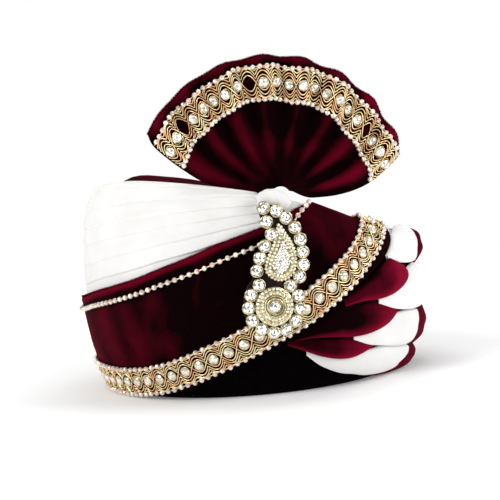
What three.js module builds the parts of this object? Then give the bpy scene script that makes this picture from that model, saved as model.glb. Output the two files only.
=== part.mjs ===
// A tied turban (pagri) for a bridegroom: a maroon velvet crown cap wound with pleated white cloth,
// crossed by a wide maroon velvet band with gold lace and a string of pearls, with maroon and white
// petal folds at the wearer's left side, a white knot and a pleated velvet fan at the top of the
// front, and a jewelled paisley brooch. Millimetres, +Z up, the front faces -Y and the petal folds
// are at +X. The origin is on the table under the middle of the turban. Angles on the body are in
// degrees from the front, growing towards +X. A height on the body is the length of cloth up the
// section from the foot, and an offset is the distance out from the wound body's surface.
import * as THREE from 'three';

const HALF_WIDTH = 116;
const HALF_DEPTH = 124;
const HEAD_SHARE = 0.755;
const CAP_WALL = 2.5;
const WRAP_SHARE = 0.784;
const GAP = 0.35;
const BAND_SEAT = 0.95;
const BAND_THICKNESS = 2.5;
const LACE_HALF_WIDTH = 10.4;
const PEARL_RADIUS = 1.5;
const PLEATS_IN_WRAP = 7;
const WIND_STEPS = 44;
const PLEAT_DEPTH = 1.7;
const CROWN_TOP = { height: 124.3, slope: 0.35, swell: 3.2, swellAt: -28, swellWidth: 26 };

const FAN_HUB = { x: 9.8, y: -97, z: 130 };
const FAN_THICKNESS = 2.5;
const FAN_PLEATS = 8;
const FAN_WAVE = 0.05;
const FAN_STEPS = 40;
const FAN_LACE = { inner: 63.5, outer: 88.5 };

const BROOCH = { x: 8, y: -130.6, z: 80, lean: 3.6, turn: 3, thickness: 2.2 };
const MEDALLION = { x: -12.2, z: -18.5, ring: 16.9, stones: 11, first: 46, last: -239 };
const STONE_RADIUS = 4.0;
const STONE_HEIGHT = 3.4;

const VELVET = 0x5a0a1c;
const DARK_VELVET = 0x2a0610;
const WHITE_CLOTH = 0xf1eeea;
const GOLD = 0xc79a4b;
const PEARL = 0xeee2cf;
const STONE = 0xf4f1ea;

// The section of the wound body: share of the half width and share of the rim height.
const BODY_SECTION = [
  { radius: 0.83, height: 0.0 },
  { radius: 0.873, height: 0.03 },
  { radius: 0.92, height: 0.12 },
  { radius: 0.967, height: 0.27 },
  { radius: 1.0, height: 0.5 },
  { radius: 0.985, height: 0.74 },
  { radius: 0.955, height: 0.88 },
  { radius: 0.905, height: 0.965 },
  { radius: 0.85, height: 0.998 },
  { radius: 0.805, height: 0.99 },
];

// The height of the rim around the turban, every 45 degrees.
const RIM = [
  { angle: -180, height: 119 },
  { angle: -135, height: 137 },
  { angle: -90, height: 144 },
  { angle: -45, height: 147 },
  { angle: 0, height: 133 },
  { angle: 45, height: 102.5 },
  { angle: 90, height: 96 },
  { angle: 135, height: 98 },
];

// The velvet band: its lower and upper edges on the body. It starts under the petal folds, runs
// level round the back and the wearer's right, and climbs across the front over the shoulder.
const BAND_LOWER = [
  { angle: -250, height: 4.5 },
  { angle: -90, height: 4.5 },
  { angle: -65, height: 4.5 },
  { angle: -50, height: 5 },
  { angle: -42, height: 7.2 },
  { angle: -35, height: 10.3 },
  { angle: -27, height: 16 },
  { angle: -18, height: 24 },
  { angle: -10, height: 32 },
  { angle: -2, height: 39.5 },
  { angle: 5.6, height: 47 },
  { angle: 13, height: 56 },
  { angle: 20.2, height: 65.5 },
  { angle: 26.6, height: 72.5 },
  { angle: 34.6, height: 80 },
  { angle: 42.4, height: 88 },
  { angle: 51.5, height: 98 },
  { angle: 57, height: 107 },
  { angle: 63, height: 119 },
];
const BAND_UPPER = [
  { angle: -250, height: 69 },
  { angle: -93, height: 71 },
  { angle: -66, height: 79.5 },
  { angle: -48, height: 87 },
  { angle: -36, height: 94 },
  { angle: -25.4, height: 100.3 },
  { angle: -15.8, height: 107 },
  { angle: -6.6, height: 112.5 },
  { angle: 3, height: 119 },
  { angle: 10, height: 125.5 },
  { angle: 15, height: 131 },
  { angle: 22, height: 141 },
  { angle: 63, height: 141 },
];

// The middle of the gold lace along the lower edge of the band.
const LACE_MIDDLE = [
  { angle: -247, height: 16.8 },
  { angle: -90, height: 16.8 },
  { angle: -72, height: 16.6 },
  { angle: -60, height: 16.8 },
  { angle: -51, height: 18 },
  { angle: -42, height: 20.5 },
  { angle: -35, height: 24 },
  { angle: -27, height: 29.5 },
  { angle: -18, height: 36.8 },
  { angle: -10, height: 44.2 },
  { angle: -2, height: 52.5 },
  { angle: 7, height: 61.5 },
  { angle: 11.4, height: 67.5 },
  { angle: 16, height: 73.6 },
  { angle: 22, height: 81.5 },
  { angle: 28.4, height: 91 },
  { angle: 34.4, height: 100 },
  { angle: 40.2, height: 107.6 },
  { angle: 46.6, height: 114 },
  { angle: 51, height: 118 },
];

// How far the bead string lies below the band's upper edge.
const STRING_DROP = [
  { angle: -264, drop: 8.6 },
  { angle: -60, drop: 8.6 },
  { angle: -36, drop: 7.6 },
  { angle: -15, drop: 6.4 },
  { angle: 3, drop: 4.2 },
  { angle: 10, drop: 2.9 },
  { angle: 15, drop: 2.7 },
];

// The lower edge of the pleated part of the white wrap, hidden under the band.
const PLEAT_START = [
  { angle: -250, height: 64 },
  { angle: -90, height: 66 },
  { angle: -66, height: 74 },
  { angle: -48, height: 82 },
  { angle: -36, height: 89 },
  { angle: -25, height: 95 },
  { angle: -16, height: 101 },
  { angle: -6, height: 107 },
  { angle: 4, height: 113 },
  { angle: 14, height: 120 },
  { angle: 30, height: 122 },
  { angle: 45, height: 117 },
  { angle: 60, height: 110 },
  { angle: 80, height: 96 },
  { angle: 92, height: 66 },
  { angle: 110, height: 64 },
];

// The joint between the dark base wrap and the white wrap, hidden all round.
const BASE_TOP = [
  { angle: -250, height: 36 },
  { angle: -90, height: 36 },
  { angle: -48, height: 42 },
  { angle: -26, height: 54 },
  { angle: -6, height: 70 },
  { angle: 7, height: 82 },
  { angle: 22, height: 94 },
  { angle: 40, height: 96 },
  { angle: 65, height: 88 },
  { angle: 80, height: 68 },
  { angle: 92, height: 48 },
  { angle: 110, height: 36 },
];

// Petal folds. Each row is a section across the fold at one angle: lower and upper edge on the
// body, the offset of its inner face at the lower and the upper edge, and its thickness.
const TONGUE_2 = [
  { angle: 21, lower: 60.8, upper: 71, under: 4.3, over: 1.6, thick: 1.2 },
  { angle: 24, lower: 61.8, upper: 80, under: 4.6, over: 1.8, thick: 2.4 },
  { angle: 28, lower: 62.5, upper: 85, under: 5.2, over: 2.4, thick: 3.4 },
  { angle: 34, lower: 62, upper: 88, under: 6.0, over: 3.4, thick: 4.2 },
  { angle: 40, lower: 63, upper: 88, under: 6.4, over: 4.0, thick: 4.4 },
  { angle: 46, lower: 66, upper: 83.5, under: 6.6, over: 4.9, thick: 4.2 },
  { angle: 50, lower: 69.5, upper: 79.5, under: 6.6, over: 5.4, thick: 3.0 },
  { angle: 51.5, lower: 73, upper: 76, under: 6.4, over: 5.8, thick: 1.6 },
];
const TONGUE_3 = [
  { angle: 4, lower: 42, upper: 47.5, under: 3.4, over: 3.2, thick: 0.8 },
  { angle: 10, lower: 43, upper: 54, under: 4.2, over: 1.2, thick: 2.2 },
  { angle: 17, lower: 42, upper: 61.5, under: 5.0, over: 0.9, thick: 3.2 },
  { angle: 24, lower: 40.5, upper: 63.5, under: 5.6, over: 0.9, thick: 3.9 },
  { angle: 31, lower: 41.5, upper: 62.5, under: 6.0, over: 1.2, thick: 3.6 },
  { angle: 39.5, lower: 45, upper: 60, under: 4.6, over: 1.6, thick: 2.4 },
  { angle: 45, lower: 50.5, upper: 56, under: 3.5, over: 2.2, thick: 1.0 },
];
const TONGUE_4 = [
  { angle: 2, lower: 39.5, upper: 43, under: 3.0, over: 2.8, thick: 0.7 },
  { angle: 6, lower: 36, upper: 43, under: 3.6, over: 2.0, thick: 1.8 },
  { angle: 12, lower: 30.5, upper: 43, under: 4.4, over: 0.9, thick: 2.8 },
  { angle: 18, lower: 27, upper: 42, under: 4.6, over: 0.8, thick: 3.2 },
  { angle: 24, lower: 26, upper: 40.5, under: 4.4, over: 0.8, thick: 2.6 },
  { angle: 30, lower: 28.5, upper: 38, under: 3.8, over: 1.2, thick: 1.5 },
  { angle: 34, lower: 31.5, upper: 34.5, under: 3.2, over: 2.2, thick: 0.7 },
];
const WHITE_1 = [
  { angle: 44, lower: 86, upper: 90, under: 4.2, over: 3.6, thick: 1.6 },
  { angle: 50, lower: 83, upper: 94, under: 4.0, over: 3.0, thick: 3.0 },
  { angle: 56, lower: 80.5, upper: 98, under: 4.4, over: 2.6, thick: 3.6 },
  { angle: 62, lower: 79, upper: 101, under: 4.4, over: 2.2, thick: 3.8 },
  { angle: 68, lower: 79, upper: 102, under: 3.8, over: 2.0, thick: 3.4 },
  { angle: 73, lower: 80.5, upper: 99.5, under: 3.0, over: 1.9, thick: 2.4 },
  { angle: 76, lower: 83, upper: 95.5, under: 2.7, over: 2.3, thick: 1.2 },
];
const WHITE_2 = [
  { angle: 34, lower: 59, upper: 64, under: 5.0, over: 4.2, thick: 0.9 },
  { angle: 42, lower: 53.5, upper: 67, under: 4.8, over: 3.0, thick: 1.6 },
  { angle: 50, lower: 50.5, upper: 71, under: 4.8, over: 2.4, thick: 2.6 },
  { angle: 57, lower: 49.5, upper: 75, under: 5.2, over: 1.4, thick: 4.8 },
  { angle: 66, lower: 49.4, upper: 74, under: 5.4, over: 1.0, thick: 5.0 },
  { angle: 75, lower: 50.4, upper: 71.5, under: 5.0, over: 1.0, thick: 4.4 },
  { angle: 84, lower: 53, upper: 68.5, under: 4.0, over: 1.6, thick: 3.0 },
  { angle: 90, lower: 57, upper: 65, under: 3.0, over: 2.0, thick: 1.4 },
];
const WHITE_3 = [
  { angle: 24, lower: 38, upper: 42, under: 4.6, over: 4.0, thick: 0.7 },
  { angle: 31, lower: 32.5, upper: 45, under: 4.2, over: 2.6, thick: 1.3 },
  { angle: 39, lower: 29.5, upper: 48, under: 4.2, over: 1.6, thick: 2.2 },
  { angle: 46, lower: 27.2, upper: 49.5, under: 4.3, over: 1.4, thick: 3.6 },
  { angle: 53, lower: 26, upper: 49.5, under: 4.4, over: 1.6, thick: 4.0 },
  { angle: 60, lower: 26.2, upper: 48, under: 4.2, over: 1.8, thick: 3.4 },
  { angle: 67, lower: 28, upper: 45.5, under: 3.4, over: 2.0, thick: 2.6 },
  { angle: 72, lower: 31, upper: 42, under: 3.0, over: 2.3, thick: 1.4 },
];
const WHITE_4 = [
  { angle: 8, lower: 31, upper: 34, under: 2.6, over: 2.2, thick: 0.8 },
  { angle: 13, lower: 22.5, upper: 32, under: 2.6, over: 1.6, thick: 1.6 },
  { angle: 20, lower: 15.6, upper: 29, under: 2.8, over: 1.2, thick: 2.6 },
  { angle: 26, lower: 12.8, upper: 28, under: 2.9, over: 1.1, thick: 3.0 },
  { angle: 32, lower: 10, upper: 27.8, under: 2.9, over: 1.0, thick: 3.2 },
  { angle: 40, lower: 9, upper: 29.4, under: 3.4, over: 1.0, thick: 3.2 },
  { angle: 48, lower: 9.4, upper: 28, under: 3.8, over: 1.0, thick: 3.0 },
  { angle: 55, lower: 11.5, upper: 25.5, under: 3.9, over: 1.6, thick: 2.4 },
  { angle: 61, lower: 15, upper: 21.5, under: 3.9, over: 3.2, thick: 1.0 },
];

// The velvet layer behind a white lobe: it shows as a crescent round the lobe's outer end.
const CRESCENT_1 = [
  { angle: 64, lower: 80, upper: 88, under: 0.5, over: 0.5, thick: 0.5 },
  { angle: 70, lower: 77.5, upper: 92, under: 0.5, over: 0.5, thick: 0.9 },
  { angle: 76, lower: 74.5, upper: 97, under: 0.5, over: 0.5, thick: 1.3 },
  { angle: 78, lower: 73.8, upper: 100, under: 0.5, over: 0.5, thick: 7.0 },
  { angle: 80, lower: 73.4, upper: 101.5, under: 0.5, over: 0.5, thick: 10.8 },
  { angle: 82, lower: 73.6, upper: 102, under: 0.5, over: 0.5, thick: 12.4 },
  { angle: 86, lower: 76, upper: 100, under: 0.5, over: 0.5, thick: 10.4 },
  { angle: 90, lower: 82, upper: 95, under: 0.5, over: 0.5, thick: 4.0 },
];
const CRESCENT_3 = [
  { angle: 58, lower: 27, upper: 42, under: 0.5, over: 0.5, thick: 0.5 },
  { angle: 66, lower: 25, upper: 44, under: 0.5, over: 0.5, thick: 0.9 },
  { angle: 72, lower: 22.6, upper: 47, under: 0.5, over: 0.5, thick: 1.3 },
  { angle: 74, lower: 21.8, upper: 49, under: 0.5, over: 0.5, thick: 6.6 },
  { angle: 76, lower: 21.2, upper: 50, under: 0.5, over: 0.5, thick: 8.2 },
  { angle: 80, lower: 20.9, upper: 50.6, under: 0.5, over: 0.5, thick: 9.2 },
  { angle: 84, lower: 21, upper: 50, under: 0.5, over: 0.5, thick: 8.4 },
  { angle: 88, lower: 22.5, upper: 48, under: 0.5, over: 0.5, thick: 5.4 },
  { angle: 91, lower: 25.5, upper: 44, under: 0.5, over: 0.5, thick: 2.4 },
];
const CRESCENT_4 = [
  { angle: 27, lower: 13, upper: 18, under: 0.5, over: 0.5, thick: 0.6 },
  { angle: 33, lower: 7, upper: 20, under: 0.5, over: 0.5, thick: 1.3 },
  { angle: 40, lower: 4.2, upper: 20, under: 0.5, over: 0.5, thick: 1.9 },
  { angle: 48, lower: 3.0, upper: 20, under: 0.5, over: 0.5, thick: 2.4 },
  { angle: 56, lower: 3.0, upper: 20.3, under: 0.5, over: 0.5, thick: 2.6 },
  { angle: 61, lower: 3.4, upper: 20.4, under: 0.5, over: 0.5, thick: 2.8 },
  { angle: 64, lower: 4.0, upper: 20.5, under: 0.5, over: 0.5, thick: 6.2 },
  { angle: 69, lower: 5.2, upper: 20.5, under: 0.5, over: 0.5, thick: 8.2 },
  { angle: 74, lower: 7.2, upper: 20.5, under: 0.5, over: 0.5, thick: 8.4 },
  { angle: 79, lower: 10, upper: 20.4, under: 0.5, over: 0.5, thick: 6.6 },
  { angle: 84, lower: 13.5, upper: 19.4, under: 0.5, over: 0.5, thick: 2.6 },
];

// The edges of the fan: at each radius from the hub, the angle of its two straight sides.
const FAN_SIDES = [
  { radius: 7, right: 30, left: 150 },
  { radius: 12, right: 8, left: 160 },
  { radius: 20, right: -2.6, left: 165 },
  { radius: 30, right: -2.8, left: 164 },
  { radius: 48, right: -0.6, left: 162 },
  { radius: 63.5, right: 3, left: 158.5 },
  { radius: 76, right: 7.4, left: 156 },
  { radius: 88.5, right: 12.5, left: 152.5 },
  { radius: 94, right: 17, left: 149.5 },
];

// The brooch outline in its own plane, around the drop and the medallion.
const BROOCH_OUTLINE = [
  { x: -16.5, z: 47.5 }, { x: -10.5, z: 49.2 }, { x: -3.0, z: 46.5 }, { x: 4.2, z: 41.2 },
  { x: 10.2, z: 33.2 }, { x: 13.4, z: 23.5 }, { x: 14.2, z: 14.7 }, { x: 13.6, z: 5.5 },
  { x: 10.4, z: -2.6 }, { x: 7.0, z: -8.0 }, { x: 8.7, z: -16.0 }, { x: 7.6, z: -25.0 },
  { x: 2.0, z: -33.4 }, { x: -7.8, z: -38.6 }, { x: -18.2, z: -39.0 }, { x: -27.0, z: -33.6 },
  { x: -33.0, z: -24.6 }, { x: -33.6, z: -14.4 }, { x: -30.6, z: -4.4 }, { x: -25.8, z: 1.4 },
  { x: -25.6, z: 7.4 }, { x: -21.8, z: 16.4 }, { x: -17.6, z: 23.4 }, { x: -13.8, z: 28.6 },
  { x: -16.2, z: 35.6 }, { x: -17.6, z: 41.6 },
];
const STONES_RIGHT = [
  { x: -13.3, z: 45.2 }, { x: -5.0, z: 42.6 }, { x: 0.9, z: 37.4 }, { x: 6.1, z: 30.7 },
  { x: 9.0, z: 22.9 }, { x: 9.8, z: 14.7 }, { x: 9.3, z: 6.3 }, { x: 6.2, z: -1.2 },
];
const STONES_LEFT = [
  { x: -12.2, z: 36.2 }, { x: -9.6, z: 27.8 }, { x: -14.5, z: 20.7 }, { x: -18.6, z: 13.2 },
  { x: -21.4, z: 5.2 },
];
const DROP_OUTLINE = [
  { x: -4.6, z: 33.4 }, { x: -0.8, z: 27.6 }, { x: 3.0, z: 20.4 }, { x: 4.6, z: 12.3 },
  { x: 3.4, z: 4.6 }, { x: -0.8, z: -0.4 }, { x: -6.4, z: -2.0 }, { x: -12.0, z: 0.2 },
  { x: -15.4, z: 5.6 }, { x: -13.3, z: 12.8 }, { x: -9.6, z: 19.4 }, { x: -6.6, z: 26.0 },
];

const rad = THREE.MathUtils.degToRad;
const lerp = THREE.MathUtils.lerp;
const turban = new THREE.Group();

// A smooth value from a table with an angle or another key column.
function lookUp(table, key, column, at) {
  const last = table.length - 1;
  if (at <= table[0][key]) {
    return table[0][column];
  }
  if (at >= table[last][key]) {
    return table[last][column];
  }
  let i = 0;
  while (at > table[i + 1][key]) {
    i += 1;
  }
  const a = table[i];
  const b = table[i + 1];
  const span = b[key] - a[key];
  const share = (at - a[key]) / span;
  const before = table[Math.max(i - 1, 0)];
  const after = table[Math.min(i + 2, last)];
  const slopeA = (b[column] - before[column]) / Math.max(b[key] - before[key], 1e-6);
  const slopeB = (after[column] - a[column]) / Math.max(after[key] - a[key], 1e-6);
  const s2 = share * share;
  const s3 = s2 * share;
  return (2 * s3 - 3 * s2 + 1) * a[column] + (s3 - 2 * s2 + share) * span * slopeA
    + (3 * s2 - 2 * s3) * b[column] + (s3 - s2) * span * slopeB;
}

function rimHeight(angle) {
  const count = RIM.length;
  const turned = (((angle + 180) % 360) + 360) % 360 / 45;
  const i = Math.floor(turned);
  const t = turned - i;
  const [a, b, c, d] = [-1, 0, 1, 2].map((k) => RIM[(i + k + count) % count].height);
  return 0.5 * (2 * b + (c - a) * t + (2 * a - 5 * b + 4 * c - d) * t * t
    + (3 * b - a - 3 * c + d) * t * t * t);
}

function bodyRadius(angle) {
  return 1 / Math.hypot(Math.sin(rad(angle)) / HALF_WIDTH, Math.cos(rad(angle)) / HALF_DEPTH);
}

const sectionCurve = new THREE.CatmullRomCurve3(
  BODY_SECTION.map((row) => new THREE.Vector3(row.radius, row.height, 0)),
  false,
  'catmullrom',
  0.5,
);
const SECTION_POINTS = sectionCurve.getPoints(90);
const profiles = new Map();

// The section of the body at one angle, with its length and its outward normals.
function profile(angle) {
  const key = Math.round(angle * 1000);
  if (!profiles.has(key)) {
    const radius = bodyRadius(angle);
    const height = rimHeight(angle);
    const points = SECTION_POINTS.map((p) => new THREE.Vector2(p.x * radius, p.y * height));
    const lengths = [0];
    for (let i = 1; i < points.length; i += 1) {
      lengths.push(lengths[i - 1] + points[i].distanceTo(points[i - 1]));
    }
    const normals = points.map((p, i) => {
      const next = points[Math.min(i + 1, points.length - 1)];
      const previous = points[Math.max(i - 1, 0)];
      return new THREE.Vector2(next.y - previous.y, previous.x - next.x).normalize();
    });
    profiles.set(key, { points, lengths, normals });
  }
  return profiles.get(key);
}

function sectionLength(angle) {
  return profile(angle).lengths.at(-1);
}

// A point on the turban: angle round the body, height up the cloth, offset out from the body.
function onBody(angle, height, offset) {
  const { points, lengths, normals } = profile(angle);
  const at = THREE.MathUtils.clamp(height, 0, lengths.at(-1));
  let i = 0;
  while (i < lengths.length - 2 && at > lengths[i + 1]) {
    i += 1;
  }
  const t = (at - lengths[i]) / (lengths[i + 1] - lengths[i]);
  const point = points[i].clone().lerp(points[i + 1], t);
  const normal = normals[i].clone().lerp(normals[i + 1], t).normalize();
  point.addScaledVector(normal, offset);
  return new THREE.Vector3(
    point.x * Math.sin(rad(angle)),
    -point.x * Math.cos(rad(angle)),
    Math.max(point.y, 0),
  );
}

// The point at a height above the table on the inner side, as a share of the body's radius.
function inside(angle, share, height, inset = 0) {
  const radius = share * bodyRadius(angle) - inset;
  return new THREE.Vector3(radius * Math.sin(rad(angle)), -radius * Math.cos(rad(angle)), height);
}

// A path across the body moved sideways by a distance, square to its own direction.
function beside(table, angle, distance) {
  const here = lookUp(table, 'angle', 'height', angle);
  const rise = lookUp(table, 'angle', 'height', angle + 1) - lookUp(table, 'angle', 'height', angle - 1);
  const run = rad(2) * bodyRadius(angle);
  const slope = Math.atan2(rise, run);
  return {
    angle: angle - THREE.MathUtils.radToDeg(distance * Math.sin(slope) / bodyRadius(angle)),
    height: here + distance * Math.cos(slope),
  };
}

function signedVolume(points, faces) {
  let sum = 0;
  const cross = new THREE.Vector3();
  for (const [a, b, c] of faces) {
    sum += points[a].dot(cross.crossVectors(points[b], points[c]));
  }
  return sum;
}

function addSolid(name, points, faces, colour, roughness, metalness = 0) {
  const out = signedVolume(points, faces) < 0 ? faces.map(([a, b, c]) => [a, c, b]) : faces;
  const geometry = new THREE.BufferGeometry();
  geometry.setAttribute('position', new THREE.Float32BufferAttribute(
    points.flatMap((p) => [p.x, p.y, p.z]),
    3,
  ));
  geometry.setIndex(out.flat());
  geometry.computeVertexNormals();
  const material = new THREE.MeshStandardMaterial({ color: colour, roughness, metalness });
  const mesh = new THREE.Mesh(geometry, material);
  mesh.name = name;
  turban.add(mesh);
  return mesh;
}

// The solid between rings of points. Each ring is a closed loop: first its outer points in order,
// then its inner points in the opposite order, so an end is capped by a strip of faces.
function loft(rings, closed) {
  const count = rings[0].length;
  const points = rings.flat();
  const faces = [];
  const steps = closed ? rings.length : rings.length - 1;
  for (let i = 0; i < steps; i += 1) {
    const here = i * count;
    const next = ((i + 1) % rings.length) * count;
    for (let k = 0; k < count; k += 1) {
      const l = (k + 1) % count;
      faces.push([here + k, next + k, next + l], [here + k, next + l, here + l]);
    }
  }
  if (!closed) {
    for (const [base, turn] of [[0, false], [(rings.length - 1) * count, true]]) {
      for (let k = 0; k < count / 2 - 1; k += 1) {
        const [a, b, c, d] = [base + k, base + k + 1, base + count - 2 - k, base + count - 1 - k];
        const pair = [[a, b, c], [a, c, d]];
        faces.push(...pair.map(([p, q, r]) => (turn ? [p, r, q] : [p, q, r])));
      }
    }
  }
  return { points, faces };
}

function turnAngles(count) {
  return Array.from({ length: count }, (_, i) => -250 + (360 * i) / count);
}

function crownHeight(x) {
  const swell = Math.exp(-(((x - CROWN_TOP.swellAt) / CROWN_TOP.swellWidth) ** 2));
  return CROWN_TOP.height - CROWN_TOP.slope * x + CROWN_TOP.swell * swell;
}

// Crown cap: a velvet cap whose domed, slanting top shows above the white rim.
function crownCap() {
  const angles = turnAngles(30);
  const wall = HEAD_SHARE + CAP_WALL / HALF_WIDTH;
  const springing = (angle) => 0.99 * rimHeight(angle) - 4;
  const dome = (angle, share, sink) => {
    const point = inside(angle, 0.77 * share, 0);
    point.z = lerp(crownHeight(point.x), springing(angle), share ** 5) - sink;
    return point;
  };
  const outer = [0.3, 0.58, 0.82, 0.97].map((share) => angles.map((a) => dome(a, share, 0)));
  const inner = [0.9, 0.66, 0.35].map((share) => angles.map((a) => dome(a, share, CAP_WALL)));
  const levels = [
    ...outer,
    angles.map((a) => inside(a, wall, springing(a) - 7)),
    angles.map((a) => inside(a, wall, 0)),
    angles.map((a) => inside(a, HEAD_SHARE, 0)),
    angles.map((a) => inside(a, HEAD_SHARE, springing(a) - 9)),
    ...inner,
  ];
  const points = levels.flat();
  const count = angles.length;
  const faces = [];
  for (let i = 0; i < levels.length - 1; i += 1) {
    for (let k = 0; k < count; k += 1) {
      const l = (k + 1) % count;
      const [a, b] = [i * count, (i + 1) * count];
      faces.push([a + k, b + k, b + l], [a + k, b + l, a + l]);
    }
  }
  const top = points.push(new THREE.Vector3(0, 0, crownHeight(0))) - 1;
  const under = points.push(new THREE.Vector3(0, 0, crownHeight(0) - CAP_WALL)) - 1;
  const end = (levels.length - 1) * count;
  for (let k = 0; k < count; k += 1) {
    const l = (k + 1) % count;
    faces.push([top, k, l], [under, end + l, end + k]);
  }
  addSolid('crown_cap', points, faces, VELVET, 0.9);
}

// White wrap: the thick wound layer, with pleats that run round the body and close up at the knot.
function whiteWrap() {
  const angles = turnAngles(WIND_STEPS);
  const ring = (angle) => {
    const start = lookUp(PLEAT_START, 'angle', 'height', angle);
    const base = lookUp(BASE_TOP, 'angle', 'height', angle) + GAP;
    const end = sectionLength(angle);
    const points = [onBody(angle, base, 0), onBody(angle, start - 1, 0)];
    for (let i = 0; i < PLEATS_IN_WRAP; i += 1) {
      const depth = PLEAT_DEPTH * Math.min(1, (end - start) / 60);
      points.push(onBody(angle, lerp(start, end, (i + 0.12) / PLEATS_IN_WRAP), -depth));
      points.push(onBody(angle, lerp(start, end, (i + 0.7) / PLEATS_IN_WRAP), 0));
    }
    points.push(onBody(angle, end, 0));
    const rim = rimHeight(angle);
    const foot = onBody(angle, base, 0).z;
    points.push(inside(angle, 0.79, 0.99 * rim - 2.5));
    points.push(inside(angle, WRAP_SHARE, 0.99 * rim - 9));
    points.push(inside(angle, WRAP_SHARE, foot));
    return points.reverse();
  };
  const { points, faces } = loft(angles.map(ring), true);
  addSolid('white_wrap', points, faces, WHITE_CLOTH, 0.85);
}

// Base wrap: the dark lower layer, seen under the band at the front.
function baseWrap() {
  const angles = turnAngles(WIND_STEPS);
  const ring = (angle) => {
    const top = lookUp(BASE_TOP, 'angle', 'height', angle);
    const shares = [0, 0.06, 0.25, 0.6, 1];
    const outer = shares.map((share) => onBody(angle, share * top, 0));
    return [...outer, inside(angle, WRAP_SHARE, outer.at(-1).z), inside(angle, WRAP_SHARE, 0)];
  };
  const { points, faces } = loft(angles.map(ring), true);
  addSolid('base_wrap', points, faces, DARK_VELVET, 0.95);
}

// Velvet band: the wide cloth that crosses the front. Its end goes over the rim.
function velvetBand() {
  const rings = [];
  for (let i = 0; i <= 52; i += 1) {
    const angle = i <= 22 ? lerp(-268, -95, i / 22) : lerp(-95, 59.4, (i - 22) / 30);
    const low = lookUp(BAND_LOWER, 'angle', 'height', angle);
    const high = Math.min(lookUp(BAND_UPPER, 'angle', 'height', angle), sectionLength(angle) - 4);
    const shares = [0, 0.06, 0.36, 0.66, 0.84, 0.95, 1];
    const outer = shares.map((share, k) => {
      const edge = k === 0 || k === shares.length - 1 ? 0.9 : BAND_THICKNESS;
      return onBody(angle, lerp(low, high, share), BAND_SEAT + edge);
    });
    const inner = shares.map((share) => onBody(angle, lerp(low, high, share), BAND_SEAT));
    rings.push([...outer, ...inner.reverse()]);
  }
  const { points, faces } = loft(rings, false);
  addSolid('velvet_band', points, faces, VELVET, 0.9);
}

// Gold lace on the band: a strip with a raised middle and a raised row along each edge.
function bandLace() {
  const base = BAND_SEAT + BAND_THICKNESS + 0.5;
  const rows = [
    { across: -1.0, rise: 0.8 },
    { across: -0.8, rise: 1.8 },
    { across: 0.0, rise: 2.2 },
    { across: 0.8, rise: 1.8 },
    { across: 1.0, rise: 0.8 },
  ];
  const rings = [];
  for (let i = 0; i <= 52; i += 1) {
    const angle = i <= 19 ? lerp(-264, -92, i / 19) : lerp(-92, 49.5, (i - 19) / 33);
    const lift = 1.1 * THREE.MathUtils.smoothstep(angle, 32, 44);
    const place = (across, offset) => {
      const at = beside(LACE_MIDDLE, angle, across * LACE_HALF_WIDTH);
      return onBody(at.angle, at.height, offset);
    };
    const outer = rows.map((row) => place(row.across, base + lift + row.rise));
    const inner = rows.map((row) => place(row.across, base + lift));
    rings.push([...outer, ...inner.reverse()]);
  }
  const { points, faces } = loft(rings, false);
  addSolid('band_lace', points, faces, GOLD, 0.45, 0.6);
}

// Pearls on the band: the string that follows its upper edge.
function bandPearls() {
  const middle = BAND_SEAT + BAND_THICKNESS + GAP + PEARL_RADIUS;
  const rings = [];
  for (let i = 0; i <= 45; i += 1) {
    const angle = i <= 18 ? lerp(-264, -90, i / 18) : lerp(-90, 14.5, (i - 18) / 27);
    const at = beside(BAND_UPPER, angle, -lookUp(STRING_DROP, 'angle', 'drop', angle));
    const ring = [];
    for (let k = 0; k < 8; k += 1) {
      const turn = Math.PI * (k / 4 + 1 / 8);
      ring.push(onBody(
        at.angle,
        at.height + PEARL_RADIUS * Math.cos(turn),
        middle + PEARL_RADIUS * Math.sin(turn),
      ));
    }
    rings.push(ring);
  }
  const { points, faces } = loft(rings, false);
  addSolid('band_pearls', points, faces, PEARL, 0.3);
}

// A petal fold: a padded leaf of cloth lying on the body, round on its outer side.
function petal(name, table, steps, colour, edge = 0.25, round = 0.5) {
  const first = table[0].angle;
  const last = table.at(-1).angle;
  const rings = [];
  const across = [0, 0.12, 0.38, 0.74, 1];
  for (let i = 0; i <= steps; i += 1) {
    const angle = lerp(first, last, i / steps);
    const value = (column) => lookUp(table, 'angle', column, angle);
    const band = lookUp(BAND_LOWER, 'angle', 'height', angle) - 1.4;
    const upper = angle < 63 ? Math.min(value('upper'), band) : value('upper');
    const place = (share, extra) => onBody(
      angle,
      lerp(value('lower'), upper, share),
      lerp(value('under'), value('over'), share) + extra,
    );
    const bulge = (share) => value('thick')
      * (edge + (1 - edge) * Math.max(0, Math.sin(Math.PI * share)) ** round);
    const outer = across.map((share) => place(share, bulge(share)));
    const inner = across.map((share) => place(share, 0));
    rings.push([...outer, ...inner.reverse()]);
  }
  const { points, faces } = loft(rings, false);
  addSolid(name, points, faces, colour, 0.9);
}

// Knot: the white roll that gathers the pleats at the front of the rim and holds the fan's neck.
function knot() {
  const rings = [];
  const sides = 10;
  for (let i = 0; i <= 8; i += 1) {
    const share = i / 8;
    const round = Math.sqrt(Math.sin(Math.PI * (0.04 + 0.92 * share)));
    const x = lerp(-4, 17, share);
    const ring = [];
    for (let k = 0; k < sides; k += 1) {
      const turn = 2 * Math.PI * (k + 0.5) / sides;
      ring.push(new THREE.Vector3(
        x,
        KNOT.y + KNOT.depth * round * Math.cos(turn),
        KNOT.z - 0.12 * (x - 6.5) + KNOT.height * round * Math.sin(turn),
      ));
    }
    rings.push(ring);
  }
  const { points, faces } = loft(rings, false);
  addSolid('knot', points, faces, WHITE_CLOTH, 0.85);
}
const KNOT = { y: -119.2, z: 130.2, depth: 7.2, height: 8.2 };

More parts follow.
